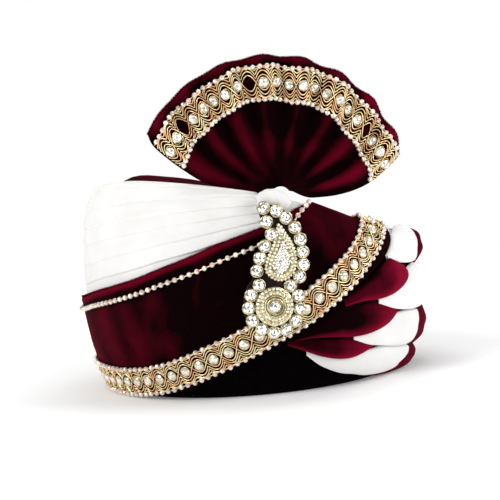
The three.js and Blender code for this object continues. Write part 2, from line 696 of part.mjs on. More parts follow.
// The front face of the fan at a radius and a share of its spread, with the pleats' waves.
function onFan(radius, share, offset) {
  const right = lookUp(FAN_SIDES, 'radius', 'right', radius);
  const left = lookUp(FAN_SIDES, 'radius', 'left', radius);
  const angle = lerp(right, left, share);
  const depth = FAN_WAVE * radius * Math.cos(2 * Math.PI * (FAN_PLEATS * share - 0.5));
  return new THREE.Vector3(
    FAN_HUB.x + radius * Math.cos(rad(angle)),
    FAN_HUB.y + 0.03 * radius - depth - offset - 15.7 * (1 - THREE.MathUtils.smoothstep(radius, 7, 26)),
    FAN_HUB.z + radius * Math.sin(rad(angle)),
  );
}

// The outer edge: a little longer at the wearer's right, and scalloped by the pleats.
function fanReach(share) {
  return lerp(89, 94.8, share) + 1.4 * Math.sin(Math.PI * share)
    + 0.7 * Math.cos(2 * Math.PI * (FAN_PLEATS * share - 0.5));
}

// Fan: a pleated half disc of velvet standing at the front of the rim.
function fan() {
  const rings = [];
  const radii = [FAN_SIDES[0].radius, 36, FAN_LACE.inner, 76, FAN_LACE.outer, 94.5];
  for (let i = 0; i <= FAN_STEPS; i += 1) {
    const share = i / FAN_STEPS;
    const place = (radius, offset) => {
      const reach = radius > 90 ? fanReach(share) : radius;
      return onFan(reach, share, offset);
    };
    const front = radii.map((radius) => place(radius, 0));
    const back = radii.map((radius) => place(radius, -FAN_THICKNESS));
    rings.push([...front, ...back.reverse()]);
  }
  const { points, faces } = loft(rings, false);
  addSolid('fan', points, faces, VELVET, 0.9);
}

// Gold lace on the fan, just inside its outer edge.
function fanLace() {
  const rings = [];
  const rows = [
    { radius: FAN_LACE.inner, rise: 0.8 },
    { radius: FAN_LACE.inner + 2.4, rise: 1.9 },
    { radius: 76, rise: 2.2 },
    { radius: FAN_LACE.outer - 2.4, rise: 1.9 },
    { radius: FAN_LACE.outer, rise: 0.8 },
  ];
  for (let i = 0; i <= FAN_STEPS; i += 1) {
    const share = i / FAN_STEPS;
    const pull = lerp(0.975, 1.005, share);
    const outer = rows.map((row) => onFan(pull * row.radius, share, 2 * GAP + row.rise));
    const inner = rows.map((row) => onFan(pull * row.radius, share, 2 * GAP));
    rings.push([...outer, ...inner.reverse()]);
  }
  const { points, faces } = loft(rings, false);
  addSolid('fan_lace', points, faces, GOLD, 0.45, 0.6);
}

// A point on the brooch: across and up its own plane, and out from its front face.
function onBrooch(x, z, out) {
  const lean = rad(BROOCH.lean);
  const turn = rad(BROOCH.turn);
  const across = new THREE.Vector3(Math.cos(turn), Math.sin(turn), 0);
  const up = new THREE.Vector3(0, Math.sin(lean), Math.cos(lean));
  const front = new THREE.Vector3().crossVectors(across, up);
  return new THREE.Vector3(BROOCH.x, BROOCH.y, BROOCH.z)
    .addScaledVector(across, x)
    .addScaledVector(up, z)
    .addScaledVector(front, out);
}

// A flat or domed plate with a smooth outline in the brooch's plane.
function broochPlate(name, outline, count, back, front, inset, colour) {
  const curve = new THREE.CatmullRomCurve3(
    outline.map((row) => new THREE.Vector3(row.x, row.z, 0)),
    true,
    'catmullrom',
    0.5,
  );
  const edge = curve.getSpacedPoints(count).slice(0, count);
  if (THREE.ShapeUtils.area(edge) < 0) {
    edge.reverse();
  }
  const centre = edge.reduce((sum, p) => sum.add(p), new THREE.Vector3()).divideScalar(count);
  const points = [];
  const faces = [];
  for (const p of edge) {
    points.push(onBrooch(p.x, p.y, back));
  }
  for (const p of edge) {
    const q = p.clone().lerp(centre, inset);
    points.push(onBrooch(q.x, q.y, front));
  }
  const contour = edge.map((p) => new THREE.Vector2(p.x, p.y));
  for (const [a, b, c] of THREE.ShapeUtils.triangulateShape(contour, [])) {
    faces.push([a, c, b], [count + a, count + b, count + c]);
  }
  for (let i = 0; i < count; i += 1) {
    const k = (i + 1) % count;
    faces.push([i, k, count + k], [i, count + k, count + i]);
  }
  addSolid(name, points, faces, colour, 0.35, 0.8);
}

// A round piece turned around an axis square to the brooch, through rows of radius and height. The
// first row is a flat end, or a point where its radius is nought.
function broochRound(name, x, z, rows, sides, colour, roughness, metalness) {
  const points = [];
  const faces = [];
  for (const row of rows) {
    for (let k = 0; k < sides; k += 1) {
      const turn = 2 * Math.PI * (k + 0.5) / sides;
      points.push(onBrooch(x + row.radius * Math.cos(turn), z + row.radius * Math.sin(turn), row.out));
    }
  }
  for (let i = 0; i < rows.length - 1; i += 1) {
    for (let k = 0; k < sides; k += 1) {
      const l = (k + 1) % sides;
      const [a, b] = [i * sides, (i + 1) * sides];
      faces.push([a + k, a + l, b + l], [a + k, b + l, b + k]);
    }
  }
  const end = (rows.length - 1) * sides;
  for (let k = 1; k < sides - 1; k += 1) {
    if (rows[0].radius > 0) {
      faces.push([0, k + 1, k]);
    }
    faces.push([end, end + k, end + k + 1]);
  }
  if (rows[0].radius === 0) {
    const pointed = faces.map((face) => face.map((index) => (index < sides ? 0 : index)));
    faces.length = 0;
    faces.push(...pointed.filter(([a, b, c]) => a !== b && b !== c && c !== a));
  }
  addSolid(name, points, faces, colour, roughness, metalness);
}

function stone(name, x, z, radius, height, base) {
  broochRound(name, x, z, [
    { radius: 0, out: base },
    { radius, out: base + 0.45 * height },
    { radius: 0.55 * radius, out: base + height },
  ], 8, STONE, 0.08, 0);
}

function brooch() {
  broochPlate('brooch_setting', BROOCH_OUTLINE, 50, 0, BROOCH.thickness, 0.02, GOLD);
  broochPlate('brooch_drop', DROP_OUTLINE, 26, BROOCH.thickness + GAP, 4.6, 0.14, GOLD);
  broochRound('brooch_medallion', MEDALLION.x, MEDALLION.z, [
    { radius: 12.2, out: BROOCH.thickness + GAP },
    { radius: 12.2, out: 4.2 },
    { radius: 9.8, out: 4.4 },
    { radius: 9.2, out: 5.4 },
    { radius: 4.6, out: 5.6 },
  ], 20, GOLD, 0.35, 0.8);
  stone('brooch_centre_stone', MEDALLION.x, MEDALLION.z, 4.0, 3.4, 5.6 + GAP);
  const spots = [...STONES_RIGHT, ...STONES_LEFT];
  for (let i = 0; i < MEDALLION.stones; i += 1) {
    const turn = rad(lerp(MEDALLION.first, MEDALLION.last, i / (MEDALLION.stones - 1)));
    spots.push({
      x: MEDALLION.x + MEDALLION.ring * Math.cos(turn),
      z: MEDALLION.z + MEDALLION.ring * Math.sin(turn),
    });
  }
  spots.forEach((spot, i) => {
    const name = `brooch_stone_${String(i + 1).padStart(2, '0')}`;
    stone(name, spot.x, spot.z, STONE_RADIUS, STONE_HEIGHT, BROOCH.thickness + GAP);
  });
  broochRound('brooch_pin', -4, 12, [
    { radius: 2.6, out: -3.4 },
    { radius: 2.6, out: -GAP },
  ], 10, GOLD, 0.4, 0.8);
}

crownCap();
baseWrap();
whiteWrap();
velvetBand();
bandLace();
bandPearls();
petal('white_petal_4', WHITE_4, 10, WHITE_CLOTH);
petal('velvet_petal_4', TONGUE_4, 10, VELVET);
petal('white_petal_3', WHITE_3, 10, WHITE_CLOTH);
petal('velvet_petal_3', TONGUE_3, 10, VELVET);
petal('white_petal_2', WHITE_2, 10, WHITE_CLOTH);
petal('velvet_petal_2', TONGUE_2, 10, VELVET);
petal('white_petal_1', WHITE_1, 10, WHITE_CLOTH);
petal('velvet_crescent_1', CRESCENT_1, 13, VELVET, 0.12, 0.75);
petal('velvet_crescent_3', CRESCENT_3, 16, VELVET, 0.12, 0.75);
petal('velvet_crescent_4', CRESCENT_4, 18, VELVET, 0.2, 0.6);
knot();
fan();
fanLace();
brooch();

// The origin goes to the table, under the middle of the turban's box.
const box = new THREE.Box3().setFromObject(turban);
turban.position.set(-(box.min.x + box.max.x) / 2, -(box.min.y + box.max.y) / 2, -box.min.z);

const model = new THREE.Group();
model.add(turban);
export default model;
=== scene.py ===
# A bridegroom's tied turban (pagri) in maroon velvet and white cloth, with a pleated fan, gold lace
# and a stone-set paisley brooch. The sections follow the turban as it is put together, from the cap
# inside the winding out to the brooch. Metres in the meshes, millimetres in the tables.
import bpy
import math
import numpy as np
from mathutils import Matrix, Vector


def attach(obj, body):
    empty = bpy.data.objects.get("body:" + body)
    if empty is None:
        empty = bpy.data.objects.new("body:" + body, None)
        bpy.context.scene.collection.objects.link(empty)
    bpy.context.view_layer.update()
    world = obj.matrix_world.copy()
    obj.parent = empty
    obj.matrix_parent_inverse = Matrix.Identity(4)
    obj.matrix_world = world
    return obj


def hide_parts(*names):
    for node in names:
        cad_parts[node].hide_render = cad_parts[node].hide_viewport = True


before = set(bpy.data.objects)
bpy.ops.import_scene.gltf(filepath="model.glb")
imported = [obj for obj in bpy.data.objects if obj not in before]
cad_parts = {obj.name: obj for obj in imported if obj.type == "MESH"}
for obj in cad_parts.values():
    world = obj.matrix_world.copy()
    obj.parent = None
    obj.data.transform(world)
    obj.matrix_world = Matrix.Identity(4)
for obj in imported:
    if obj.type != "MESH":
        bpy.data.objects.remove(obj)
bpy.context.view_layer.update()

# Crown cap. A stiff cap covered with maroon velvet, on which all else is wound and sewn. Its domed
# top shows above the white winding. Angles run round the turban in degrees from the front, growing
# to the wearer's left, and PLACE is the middle of its oval in the shared frame.
MM = 0.001
PLACE = np.array([-1.0834084, 5.8814240, 0.0])
HALF_WIDTH = 116.0
HALF_DEPTH = 124.0
HEAD_SHARE = 0.755
DOME_SHARE = 0.77
CAP_WALL = 2.5
GATHERS = 24
GATHER_HEIGHT = 0.7
DOME_DROP = 4
OUTER_WALL_DROP = 7
INNER_WALL_DROP = 9
CROWN_TOP = {"height": 124.3, "slope": 0.35, "swell": 3.2, "swell_at": -28.0, "swell_width": 26.0}
CROWN_PAD = {"all": 0.8, "front": 2.0, "front_at": -10.0, "front_width": 18.0, "side": 1.3,
             "side_from": 50.0, "side_to": 85.0}
RIM_HEIGHTS = [119, 137, 144, 147, 133, 102.5, 96, 98]


def curve_through(a, b, c, d, t):
    """The Catmull-Rom curve from b to c, with a before and d after; t runs from 0 to 1."""
    return 0.5 * (2 * b + (c - a) * t + (2 * a - 5 * b + 4 * c - d) * t**2
                  + (3 * b - a - 3 * c + d) * t**3)


def rim_height(angle):
    turned = np.mod(np.asarray(angle, float) + 180, 360) / 45
    first = np.floor(turned).astype(int)
    heights = np.array(RIM_HEIGHTS, float)
    return curve_through(*(heights[(first + k) % 8] for k in (-1, 0, 1, 2)), turned - first)


def body_radius(angle):
    turn = np.radians(angle)
    return 1 / np.hypot(np.sin(turn) / HALF_WIDTH, np.cos(turn) / HALF_DEPTH)


def inside(angle, share, height):
    turn = np.radians(angle)
    radius = share * body_radius(angle)
    return np.stack(np.broadcast_arrays(radius * np.sin(turn), -radius * np.cos(turn), height), -1)


def smooth_step(value, low, high):
    t = np.clip((np.asarray(value, float) - low) / (high - low), 0, 1)
    return t * t * (3 - 2 * t)


def bell(value, middle, width):
    return np.exp(-(((value - middle) / width) ** 2))


def new_object(name, points, faces, material):
    """An object with a mesh in metres, not yet in the scene."""
    mesh = bpy.data.meshes.new(name)
    mesh.from_pydata(points, [], faces)
    mesh.validate()
    mesh.materials.append(material)
    return bpy.data.objects.new(name, mesh)


def new_piece(name, points, faces, material, smooth=True):
    points = (np.asarray(points, float).reshape(-1, 3) + PLACE) * MM
    piece = new_object(name, points.tolist(), [list(map(int, face)) for face in faces], material)
    if smooth:
        piece.data.shade_smooth()
    bpy.context.scene.collection.objects.link(piece)
    return piece


def set_painted_light(piece, values):
    """Painted light on the velvet at each point of the mesh, from 0 (painted shade) to 1 (painted
    highlight).
    """
    layer = piece.data.attributes.new("nap", "FLOAT", "POINT")
    values = np.asarray(values, np.float32).ravel()
    layer.data.foreach_set("value", np.resize(values, len(piece.data.vertices)))


def loft_faces(count, around, closed):
    """Quads between rings of points; where closed, the last ring is joined to the first."""
    rings = np.arange(count if closed else count - 1)
    ring, spot = np.meshgrid(rings, np.arange(around), indexing="ij")
    next_ring, next_spot = (ring + 1) % count, (spot + 1) % around
    quads = [ring * around + spot, next_ring * around + spot, next_ring * around + next_spot,
             ring * around + next_spot]
    return np.stack(quads, -1).reshape(-1, 4)


def new_tree(name, kind, inputs, outputs):
    """A node tree with its named inputs and outputs, and the nodes that stand for them."""
    tree = bpy.data.node_groups.new(name, kind)
    for label, socket_kind, value in inputs:
        socket = tree.interface.new_socket(name=label, in_out="INPUT", socket_type=socket_kind)
        if value is not None:
            socket.default_value = value
    for label, socket_kind in outputs:
        tree.interface.new_socket(name=label, in_out="OUTPUT", socket_type=socket_kind)
    return tree, tree.nodes.new("NodeGroupInput"), tree.nodes.new("NodeGroupOutput")


def tree_add(tree, kind, links=(), settings=None, **inputs):
    """A new node with its settings, the values of its named inputs and its incoming links."""
    node = tree.nodes.new(kind)
    for label, value in (settings or {}).items():
        setattr(node, label, value)
    for label, value in inputs.items():
        node.inputs[label.replace("_", " ")].default_value = value
    for source, target in links:
        tree.links.new(source, node.inputs[target])
    return node


def times_plus(tree, value, factor, added):
    """A value times a factor plus a number or another node's output."""
    node = tree_add(tree, "ShaderNodeMath", [(value, 0)], {"operation": "MULTIPLY_ADD"})
    node.inputs[1].default_value = factor
    if isinstance(added, float):
        node.inputs[2].default_value = added
    else:
        tree.links.new(added, node.inputs[2])
    return node.outputs[0]


def shader_material(name, **inputs):
    """A material with one Principled shader and the values of its named inputs."""
    material = bpy.data.materials.new(name)
    material.use_nodes = True
    shader = material.node_tree.nodes["Principled BSDF"]
    for label, value in inputs.items():
        shader.inputs[label.replace("_", " ")].default_value = value
    return material


def paint(tree, source, stops, socket="Base Color"):
    """Colours the shader by a ramp over what the source gives."""
    ramp = tree_add(tree, "ShaderNodeValToRGB", [(source, "Fac")])
    elements = ramp.color_ramp.elements
    for _ in stops[2:]:
        elements.new(0.5)
    for element, (position, colour) in zip(elements, stops):
        element.position = position
        element.color = (*colour, 1)
    tree.links.new(ramp.outputs["Color"], tree.nodes["Principled BSDF"].inputs[socket])


def roughen(tree, source, strength, distance):
    """Gives the shader a bump of what the source gives; the distance is in metres."""
    bump = tree_add(tree, "ShaderNodeBump", [(source, "Height")], Strength=strength,
                    Distance=distance)
    tree.links.new(bump.outputs["Normal"], tree.nodes["Principled BSDF"].inputs["Normal"])


def nap_group():
    """Velvet's nap: broad patches where the pile is brushed over, and its fine upright fibres."""
    tree, given, out = new_tree("velvet_nap", "ShaderNodeTree", [
        ("Patch Scale", "NodeSocketFloat", 26.0), ("Fibre Scale", "NodeSocketFloat", 2600.0)],
        [("Patches", "NodeSocketFloat"), ("Fibres", "NodeSocketFloat")])
    where = tree.nodes.new("ShaderNodeTexCoord").outputs["Object"]
    patches = tree_add(tree, "ShaderNodeTexNoise", [
        (where, "Vector"), (given.outputs["Patch Scale"], "Scale")], Detail=3.0, Distortion=0.6)
    fibres = tree_add(tree, "ShaderNodeTexNoise", [
        (where, "Vector"), (given.outputs["Fibre Scale"], "Scale")], Detail=2.0)
    tree.links.new(patches.outputs["Fac"], out.inputs["Patches"])
    tree.links.new(fibres.outputs["Fac"], out.inputs["Fibres"])
    return tree


PATCH_SHARE = 0.46
PATCH_FLOOR = 0.15
# How far the painted light moves the velvet's colour toward its lit colour.
PAINTED_LIGHT_SHARE = 0.62


def velvet(name, deep, lit, sheen, tint, patch_scale=26.0):
    """Pile cloth with painted light: a point attribute paints it from the deep colour (painted shade)
    to the lit colour (painted highlight).
    """
    material = shader_material(name, Roughness=0.85, Specular_IOR_Level=0.02, Sheen_Weight=sheen,
                               Sheen_Roughness=0.38, Sheen_Tint=(*tint, 1))
    tree = material.node_tree
    group = bpy.data.node_groups.get("velvet_nap") or nap_group()
    nap = tree_add(tree, "ShaderNodeGroup", settings={"node_tree": group}, Patch_Scale=patch_scale)
    lean = tree_add(tree, "ShaderNodeAttribute", settings={"attribute_name": "nap"})
    # The painted light, over the patches' uneven tone, sets the colour between the deep and the lit
    # colour.
    spread = times_plus(tree, nap.outputs["Patches"], PATCH_SHARE, PATCH_FLOOR)
    painted_lit = times_plus(tree, lean.outputs["Fac"], PAINTED_LIGHT_SHARE, spread)
    paint(tree, painted_lit, [(0.41, deep), (0.95, lit)])
    roughen(tree, nap.outputs["Fibres"], 0.6, 0.0005)
    return material


maroon_velvet = velvet("maroon_velvet", (0.003, 0.0001, 0.0005), (0.17, 0.0012, 0.015), 0.11,
                       (0.60, 0.006, 0.06))


def crown_height(x):
    top, pad = CROWN_TOP, CROWN_PAD
    swell = top["swell"] * bell(x, top["swell_at"], top["swell_width"])
    front = pad["front"] * bell(x, pad["front_at"], pad["front_width"])
    side = pad["side"] * smooth_step(-x, pad["side_from"], pad["side_to"])
    return top["height"] - top["slope"] * x + swell + pad["all"] + front + side


def crown_cap():
    angles = np.linspace(-250, 110, 180, endpoint=False)
    count = len(angles)
    springing = 0.99 * rim_height(angles) - DOME_DROP
    outer_top, inner_top = springing - OUTER_WALL_DROP, springing - INNER_WALL_DROP
    wall = HEAD_SHARE + CAP_WALL / HALF_WIDTH

    def dome(share, sink):
        point = inside(angles, DOME_SHARE * share, 0.0)
        top = crown_height(point[:, 0])
        gathers = GATHER_HEIGHT * smooth_step(share, 0.1, 0.5) * np.cos(np.radians(angles) * GATHERS)
        point[:, 2] = top + (springing - top) * share**5 - sink + gathers * (share < 0.99)
        return point

    levels = [
        *[dome(share, 0) for share in np.linspace(0.04, 0.98, 16)],
        inside(angles, wall, outer_top),
        *[inside(angles, wall, outer_top * t) for t in (0.75, 0.5, 0.25, 0.04)],
        inside(angles, wall - 0.004, 0.0),
        inside(angles, HEAD_SHARE + 0.004, 0.0),
        *[inside(angles, HEAD_SHARE, inner_top * t) for t in (0.04, 0.25, 0.5, 0.75, 1)],
        *[dome(share, CAP_WALL) for share in np.linspace(0.92, 0.04, 10)],
    ]
    points = np.array(levels).reshape(-1, 3)
    faces = loft_faces(len(levels), count, False).tolist()
    first, last = len(points), len(points) + 1
    top = crown_height(0)
    points = np.vstack([points, [[0, 0, top], [0, 0, top - CAP_WALL]]])
    end = (len(levels) - 1) * count
    for spot in range(count):
        next_spot = (spot + 1) % count
        faces.append([spot, next_spot, first])
        faces.append([end + next_spot, end + spot, last])
    piece = new_piece("crown_cap_velvet", points, [face[::-1] for face in faces], maroon_velvet)
    # The whole cap gets one low level of painted light.
    set_painted_light(piece, np.full(len(points), 0.15))
    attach(piece, "root")
    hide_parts("crown_cap")


crown_cap()

# Base wrap. The lower layer of the winding, its velvet painted nearly black as painted shade, seen
# at the front under the band, where the petal folds leave it. It is wound tight, with a few shallow
# folds along its length.
BODY_SECTION = [(0.83, 0.0), (0.873, 0.03), (0.92, 0.12), (0.967, 0.27), (1.0, 0.5), (0.985, 0.74),
                (0.955, 0.88), (0.905, 0.965), (0.85, 0.998), (0.805, 0.99)]
WRAP_SHARE = 0.784
BASE_TOP = [(-250, 36), (-90, 36), (-48, 42), (-26, 54), (-6, 70), (7, 82), (22, 94), (40, 96),
            (65, 88), (80, 68), (92, 48), (110, 36)]


def section_shares():
    """A smooth curve through the section's points, in ninety steps."""
    rows = np.array(BODY_SECTION)
    rows = np.vstack([2 * rows[0] - rows[1], rows, 2 * rows[-1] - rows[-2]])
    at = np.linspace(0, len(BODY_SECTION) - 1, 91)
    first = np.minimum(at.astype(int), len(BODY_SECTION) - 2)
    return curve_through(*(rows[first + k] for k in range(4)), (at - first)[:, None])


SECTION = section_shares()


def row_value(rows, at, column=1):
    """A smooth value between the rows of a table whose first column is the key."""
    table = np.array(rows, float)
    key, value = table[:, 0], table[:, column]
    at = np.clip(np.asarray(at, float), key[0], key[-1])
    i = np.clip(np.searchsorted(key, at, side="right") - 1, 0, len(key) - 2)
    span = key[i + 1] - key[i]
    t = (at - key[i]) / span
    before, after = np.maximum(i - 1, 0), np.minimum(i + 2, len(key) - 1)
    slope_a = (value[i + 1] - value[before]) / (key[i + 1] - key[before])
    slope_b = (value[after] - value[i]) / (key[after] - key[i])
    return ((2 * t**3 - 3 * t**2 + 1) * value[i] + (t**3 - 2 * t**2 + t) * span * slope_a
            + (3 * t**2 - 2 * t**3) * value[i + 1] + (t**3 - t**2) * span * slope_b)


def unit(vectors):
    return vectors / np.linalg.norm(vectors, axis=-1, keepdims=True)


def sections(angle):
    """For each angle: the section's points, their lengths up the cloth and their normals."""
    points = np.stack([SECTION[:, 0] * body_radius(angle)[:, None],
                       SECTION[:, 1] * rim_height(angle)[:, None]], -1)
    steps = np.linalg.norm(np.diff(points, axis=1), axis=2)
    lengths = np.concatenate([np.zeros((len(angle), 1)), np.cumsum(steps, axis=1)], axis=1)
    ahead = np.concatenate([points[:, 1:], points[:, -1:]], axis=1)
    behind = np.concatenate([points[:, :1], points[:, :-1]], axis=1)
    along = ahead - behind
    return points, lengths, unit(np.stack([along[..., 1], -along[..., 0]], -1))


def section_length(angle):
    angle = np.atleast_1d(np.asarray(angle, float))
    return sections(angle)[1][:, -1]


def on_body(angle, height, offset):
    """Points at an angle round the turban, a height up the cloth and an offset out from it."""
    angle, height, offset = (np.asarray(v, float) for v in np.broadcast_arrays(angle, height, offset))
    shape = angle.shape
    flat, height, offset = angle.ravel(), height.ravel(), offset.ravel()
    out = np.empty((flat.size, 3))
    for start in range(0, flat.size, 16000):
        part = slice(start, start + 16000)
        unique, which = np.unique(np.round(flat[part], 4), return_inverse=True)
        points, lengths, normals = sections(unique)
        at = np.clip(height[part], 0, lengths[which, -1])
        i = np.clip((lengths[which] <= at[:, None]).sum(1) - 1, 0, lengths.shape[1] - 2)
        t = ((at - lengths[which, i]) / (lengths[which, i + 1] - lengths[which, i]))[:, None]
        point = points[which, i] * (1 - t) + points[which, i + 1] * t
        normal = unit(normals[which, i] * (1 - t) + normals[which, i + 1] * t)
        point = point + normal * offset[part][:, None]
        turn = np.radians(flat[part])
        out[part] = np.stack([point[:, 0] * np.sin(turn), -point[:, 0] * np.cos(turn),
                              np.maximum(point[:, 1], 0)], -1)
    return out.reshape(*shape, 3)


# A copy of the velvet painted nearly black: painted shade at the foot of the turban.
shadow_velvet = velvet("shadow_velvet", (0.0008, 0.0001, 0.0002), (0.006, 0.0003, 0.001), 0.02,
                       (0.4, 0.02, 0.08))


def soft_noise(x, y, seed):
    """Gentle waves without a pattern, from a few sines with fixed phases."""
    rng = np.random.default_rng(seed)
    total = np.zeros(np.broadcast(x, y).shape)
    for octave in range(5):
        turn = rng.uniform(0, 2 * np.pi, 3)
        finer = 1.6**octave
        total = total + np.sin(x * np.cos(turn[0]) * finer + y * np.sin(turn[0]) * finer
                               + turn[1]) / 1.35**octave
    return total / 3.2


def loft(name, rings, closed, material):
    """The closed skin over rings of points; each ring runs up its outer side and down its inner."""
    rings = np.asarray(rings, float)
    count, around = rings.shape[:2]
    points = rings.reshape(-1, 3)
    faces = loft_faces(count, around, closed).tolist()
    if not closed:
        for base in (0, (count - 1) * around):
            for k in range(around // 2 - 1):
                cap = [base + k, base + k + 1, base + around - 2 - k, base + around - 1 - k]
                faces.append(cap[::-1] if base == 0 else cap)
    corners = np.array([points[face] for face in faces if len(face) == 4])
    volume = np.einsum("ij,ij->i", corners[:, 0], np.cross(corners[:, 1], corners[:, 2])).sum()
    volume += np.einsum("ij,ij->i", corners[:, 0], np.cross(corners[:, 2], corners[:, 3])).sum()
    if volume < 0:
        faces = [face[::-1] for face in faces]
    return new_piece(name, points, faces, material)


def base_wrap():
    angles = np.linspace(-250, 110, 360, endpoint=False)
    top = row_value(BASE_TOP, angles)
    shares = np.array([0, 0.01, 0.03, 0.08, 0.16, 0.24, 0.32, 0.4, 0.5, 0.6, 0.7, 0.8, 0.9, 1.0])
    a, s = np.meshgrid(angles, shares, indexing="ij")
    folds = 0.5 * soft_noise(np.radians(a) * 3, s * 18, 4) * smooth_step(s, 0.05, 0.2)
    outer = on_body(a, s * top[:, None], np.minimum(folds, 0.25) * (1 - smooth_step(s, 0.9, 1)))
    rings = np.concatenate([
        outer,
        inside(angles, WRAP_SHARE, outer[:, -1, 2])[:, None],
        inside(angles, WRAP_SHARE, 0.0)[:, None],
    ], axis=1)
    piece = loft("base_wrap_velvet", rings, True, shadow_velvet)
    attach(piece, "root")
    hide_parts("base_wrap")


base_wrap()

# White wrap. A long length of fine white cloth folded into seven tiers and wound tightly from the
# back. Each tier overlaps the one below, and they close up towards the knot at the front.
PLEAT_START = [(-250, 64), (-90, 66), (-66, 74), (-48, 82), (-36, 89), (-25, 95), (-16, 101),
               (-6, 107), (4, 113), (14, 120), (30, 122), (45, 117), (60, 110), (80, 96),
               (92, 66), (110, 64)]
TIERS = 7
TIER_STEP = 0.9
TIER_LIP = 0.1
TIER_PUFF = 0.25
TIER_WANDER = 0.10
WRINKLES = 0.22


def weave_group():
    """Fine woven cloth: threads both ways, drawn by two crossing waves, with spots of painted shade.
    """
    tree, given, out = new_tree("cloth_weave", "ShaderNodeTree", [
        ("Thread Scale", "NodeSocketFloat", 900.0)],
        [("Threads", "NodeSocketFloat"), ("Shade Spots", "NodeSocketFloat")])
    where = tree.nodes.new("ShaderNodeTexCoord").outputs["Object"]
    both = tree_add(tree, "ShaderNodeMath", settings={"operation": "ADD"})
    for number, direction in enumerate(("Z", "X")):
        wave = tree_add(tree, "ShaderNodeTexWave", [
            (where, "Vector"), (given.outputs["Thread Scale"], "Scale")],
            {"bands_direction": direction}, Distortion=0.6, Detail=1.0)
        tree.links.new(wave.outputs["Fac"], both.inputs[number])
    creases = tree_add(tree, "ShaderNodeTexNoise", [(where, "Vector")], Scale=34.0, Detail=4.0)
    tree.links.new(both.outputs[0], out.inputs["Threads"])
    tree.links.new(creases.outputs["Fac"], out.inputs["Shade Spots"])
    return tree


def white_cloth(name, shade, light):
    material = shader_material(name, Roughness=0.82, Specular_IOR_Level=0.2, Sheen_Weight=0.12)
    tree = material.node_tree
    group = bpy.data.node_groups.get("cloth_weave") or weave_group()
    weave = tree_add(tree, "ShaderNodeGroup", settings={"node_tree": group})
    # The cloth is painted in soft spots between its shade and its light colour: painted shade.
    paint(tree, weave.outputs["Shade Spots"], [(0.3, shade), (0.62, light)])
    roughen(tree, weave.outputs["Threads"], 0.25, 0.00025)
    return material


winding_cloth = white_cloth("winding_cloth", (0.84, 0.83, 0.81), (0.90, 0.895, 0.88))


def white_wrap():
    angles = np.linspace(-250, 110, 540, endpoint=False)
    start = row_value(PLEAT_START, angles)
    base = row_value(BASE_TOP, angles) + 0.35
    end = section_length(angles)
    steps = np.array([0, 0.025, 0.05, 0.08, 0.12, 0.18, 0.28, 0.4, 0.52, 0.64, 0.76, 0.86, 0.94])
    tiers = (np.arange(TIERS)[:, None] + steps[None, :]).ravel()
    a, p = np.meshgrid(angles, tiers, indexing="ij")
    depth = TIER_STEP * np.minimum(1, (end - start) / 60)[:, None]
    phase = np.mod(p, 1.0)
    number = np.floor(p)
    rise = smooth_step(phase, 0, TIER_LIP)
    fall = (np.clip(phase - TIER_LIP, 0, 1) / (1 - TIER_LIP)) ** 1.5
    drop = depth + TIER_PUFF
    step = np.where(phase < TIER_LIP, drop * rise - depth, TIER_PUFF - drop * fall)
    wander = TIER_WANDER * soft_noise(np.radians(a) * 2.2, number * 2.7, 11)
    wrinkles = WRINKLES * soft_noise(np.radians(a) * 2.4 + number, p * 9.0, 23) * depth / TIER_STEP
    share = np.clip((p + wander * np.sin(np.pi * np.clip(p / TIERS, 0, 1))) / TIERS, 0, 1)
    heights = start[:, None] + share * (end - start)[:, None]
    folded = on_body(a, heights, step + wrinkles - 0.1)
    rim = rim_height(angles)
    foot = on_body(angles, base, 0.0)
    rings = np.concatenate([
        foot[:, None],
        on_body(angles, 0.5 * (base + start), 0.0)[:, None],
        on_body(angles, start - 1, -0.3)[:, None],
        folded,
        on_body(angles, end, 0.0)[:, None],
        inside(angles, 0.79, 0.99 * rim - 2.5)[:, None],
        inside(angles, WRAP_SHARE, 0.99 * rim - 9)[:, None],
        inside(angles, WRAP_SHARE, foot[:, 2])[:, None],
    ], axis=1)
    piece = loft("white_wrap_cloth", rings, True, winding_cloth)
    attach(piece, "root")
    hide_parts("white_wrap")


white_wrap()

# Velvet band. A wide, softly padded band of maroon velvet that crosses the front from low on the
# wearer's right to the shoulder of the winding on the left. Its upper edge is folded to a roll.
BAND_SEAT = 0.95
BAND_THICKNESS = 2.5
BAND_LOWER = [(-250, 4.5), (-90, 4.5), (-65, 4.5), (-50, 5), (-42, 7.2), (-35, 10.3), (-27, 16),
              (-18, 24), (-10, 32), (-2, 39.5), (5.6, 47), (13, 56), (20.2, 65.5), (26.6, 72.5),
              (34.6, 80), (42.4, 88), (51.5, 98), (57, 107), (63, 119)]
BAND_UPPER = [(-250, 69), (-93, 71), (-66, 79.5), (-48, 87), (-36, 94), (-25.4, 100.3),
              (-15.8, 107), (-6.6, 112.5), (3, 119), (10, 125.5), (15, 131), (22, 141), (63, 141)]
BAND_RISE = 2.6
BAND_EDGE = 2.6
BAND_ROLL = 0.5
GROOVE_DEPTH = 0.8
BAND_FOLDS = 0.30
# Streaks of painted highlight on the band: the angle, the spread and the strength of each.
BAND_HIGHLIGHTS = [(-86, 11, 0.44), (-63, 7, 0.40), (-50, 5, 0.30), (-36, 5, 0.18)]
STRING_DROP = [(-264, 8.6), (-90, 8.6), (-60, 9.6), (-36, 9.8), (-15, 8.6), (3, 6.0), (10, 1.6),
               (15, 0.8)]


def band_raised(angle):
    """How far the rolled edge stands up as it nears the knot."""
    return BAND_RISE * smooth_step(angle, -50, -8) * (1 - smooth_step(angle, 8, 18))


def band_top(angle):
    return np.minimum(row_value(BAND_UPPER, angle) + band_raised(angle), section_length(angle) - 4)


def cosine_steps(count):
    """Shares from 0 to 1 that stand closer at both ends."""
    return 0.5 - 0.5 * np.cos(np.linspace(0, np.pi, count))


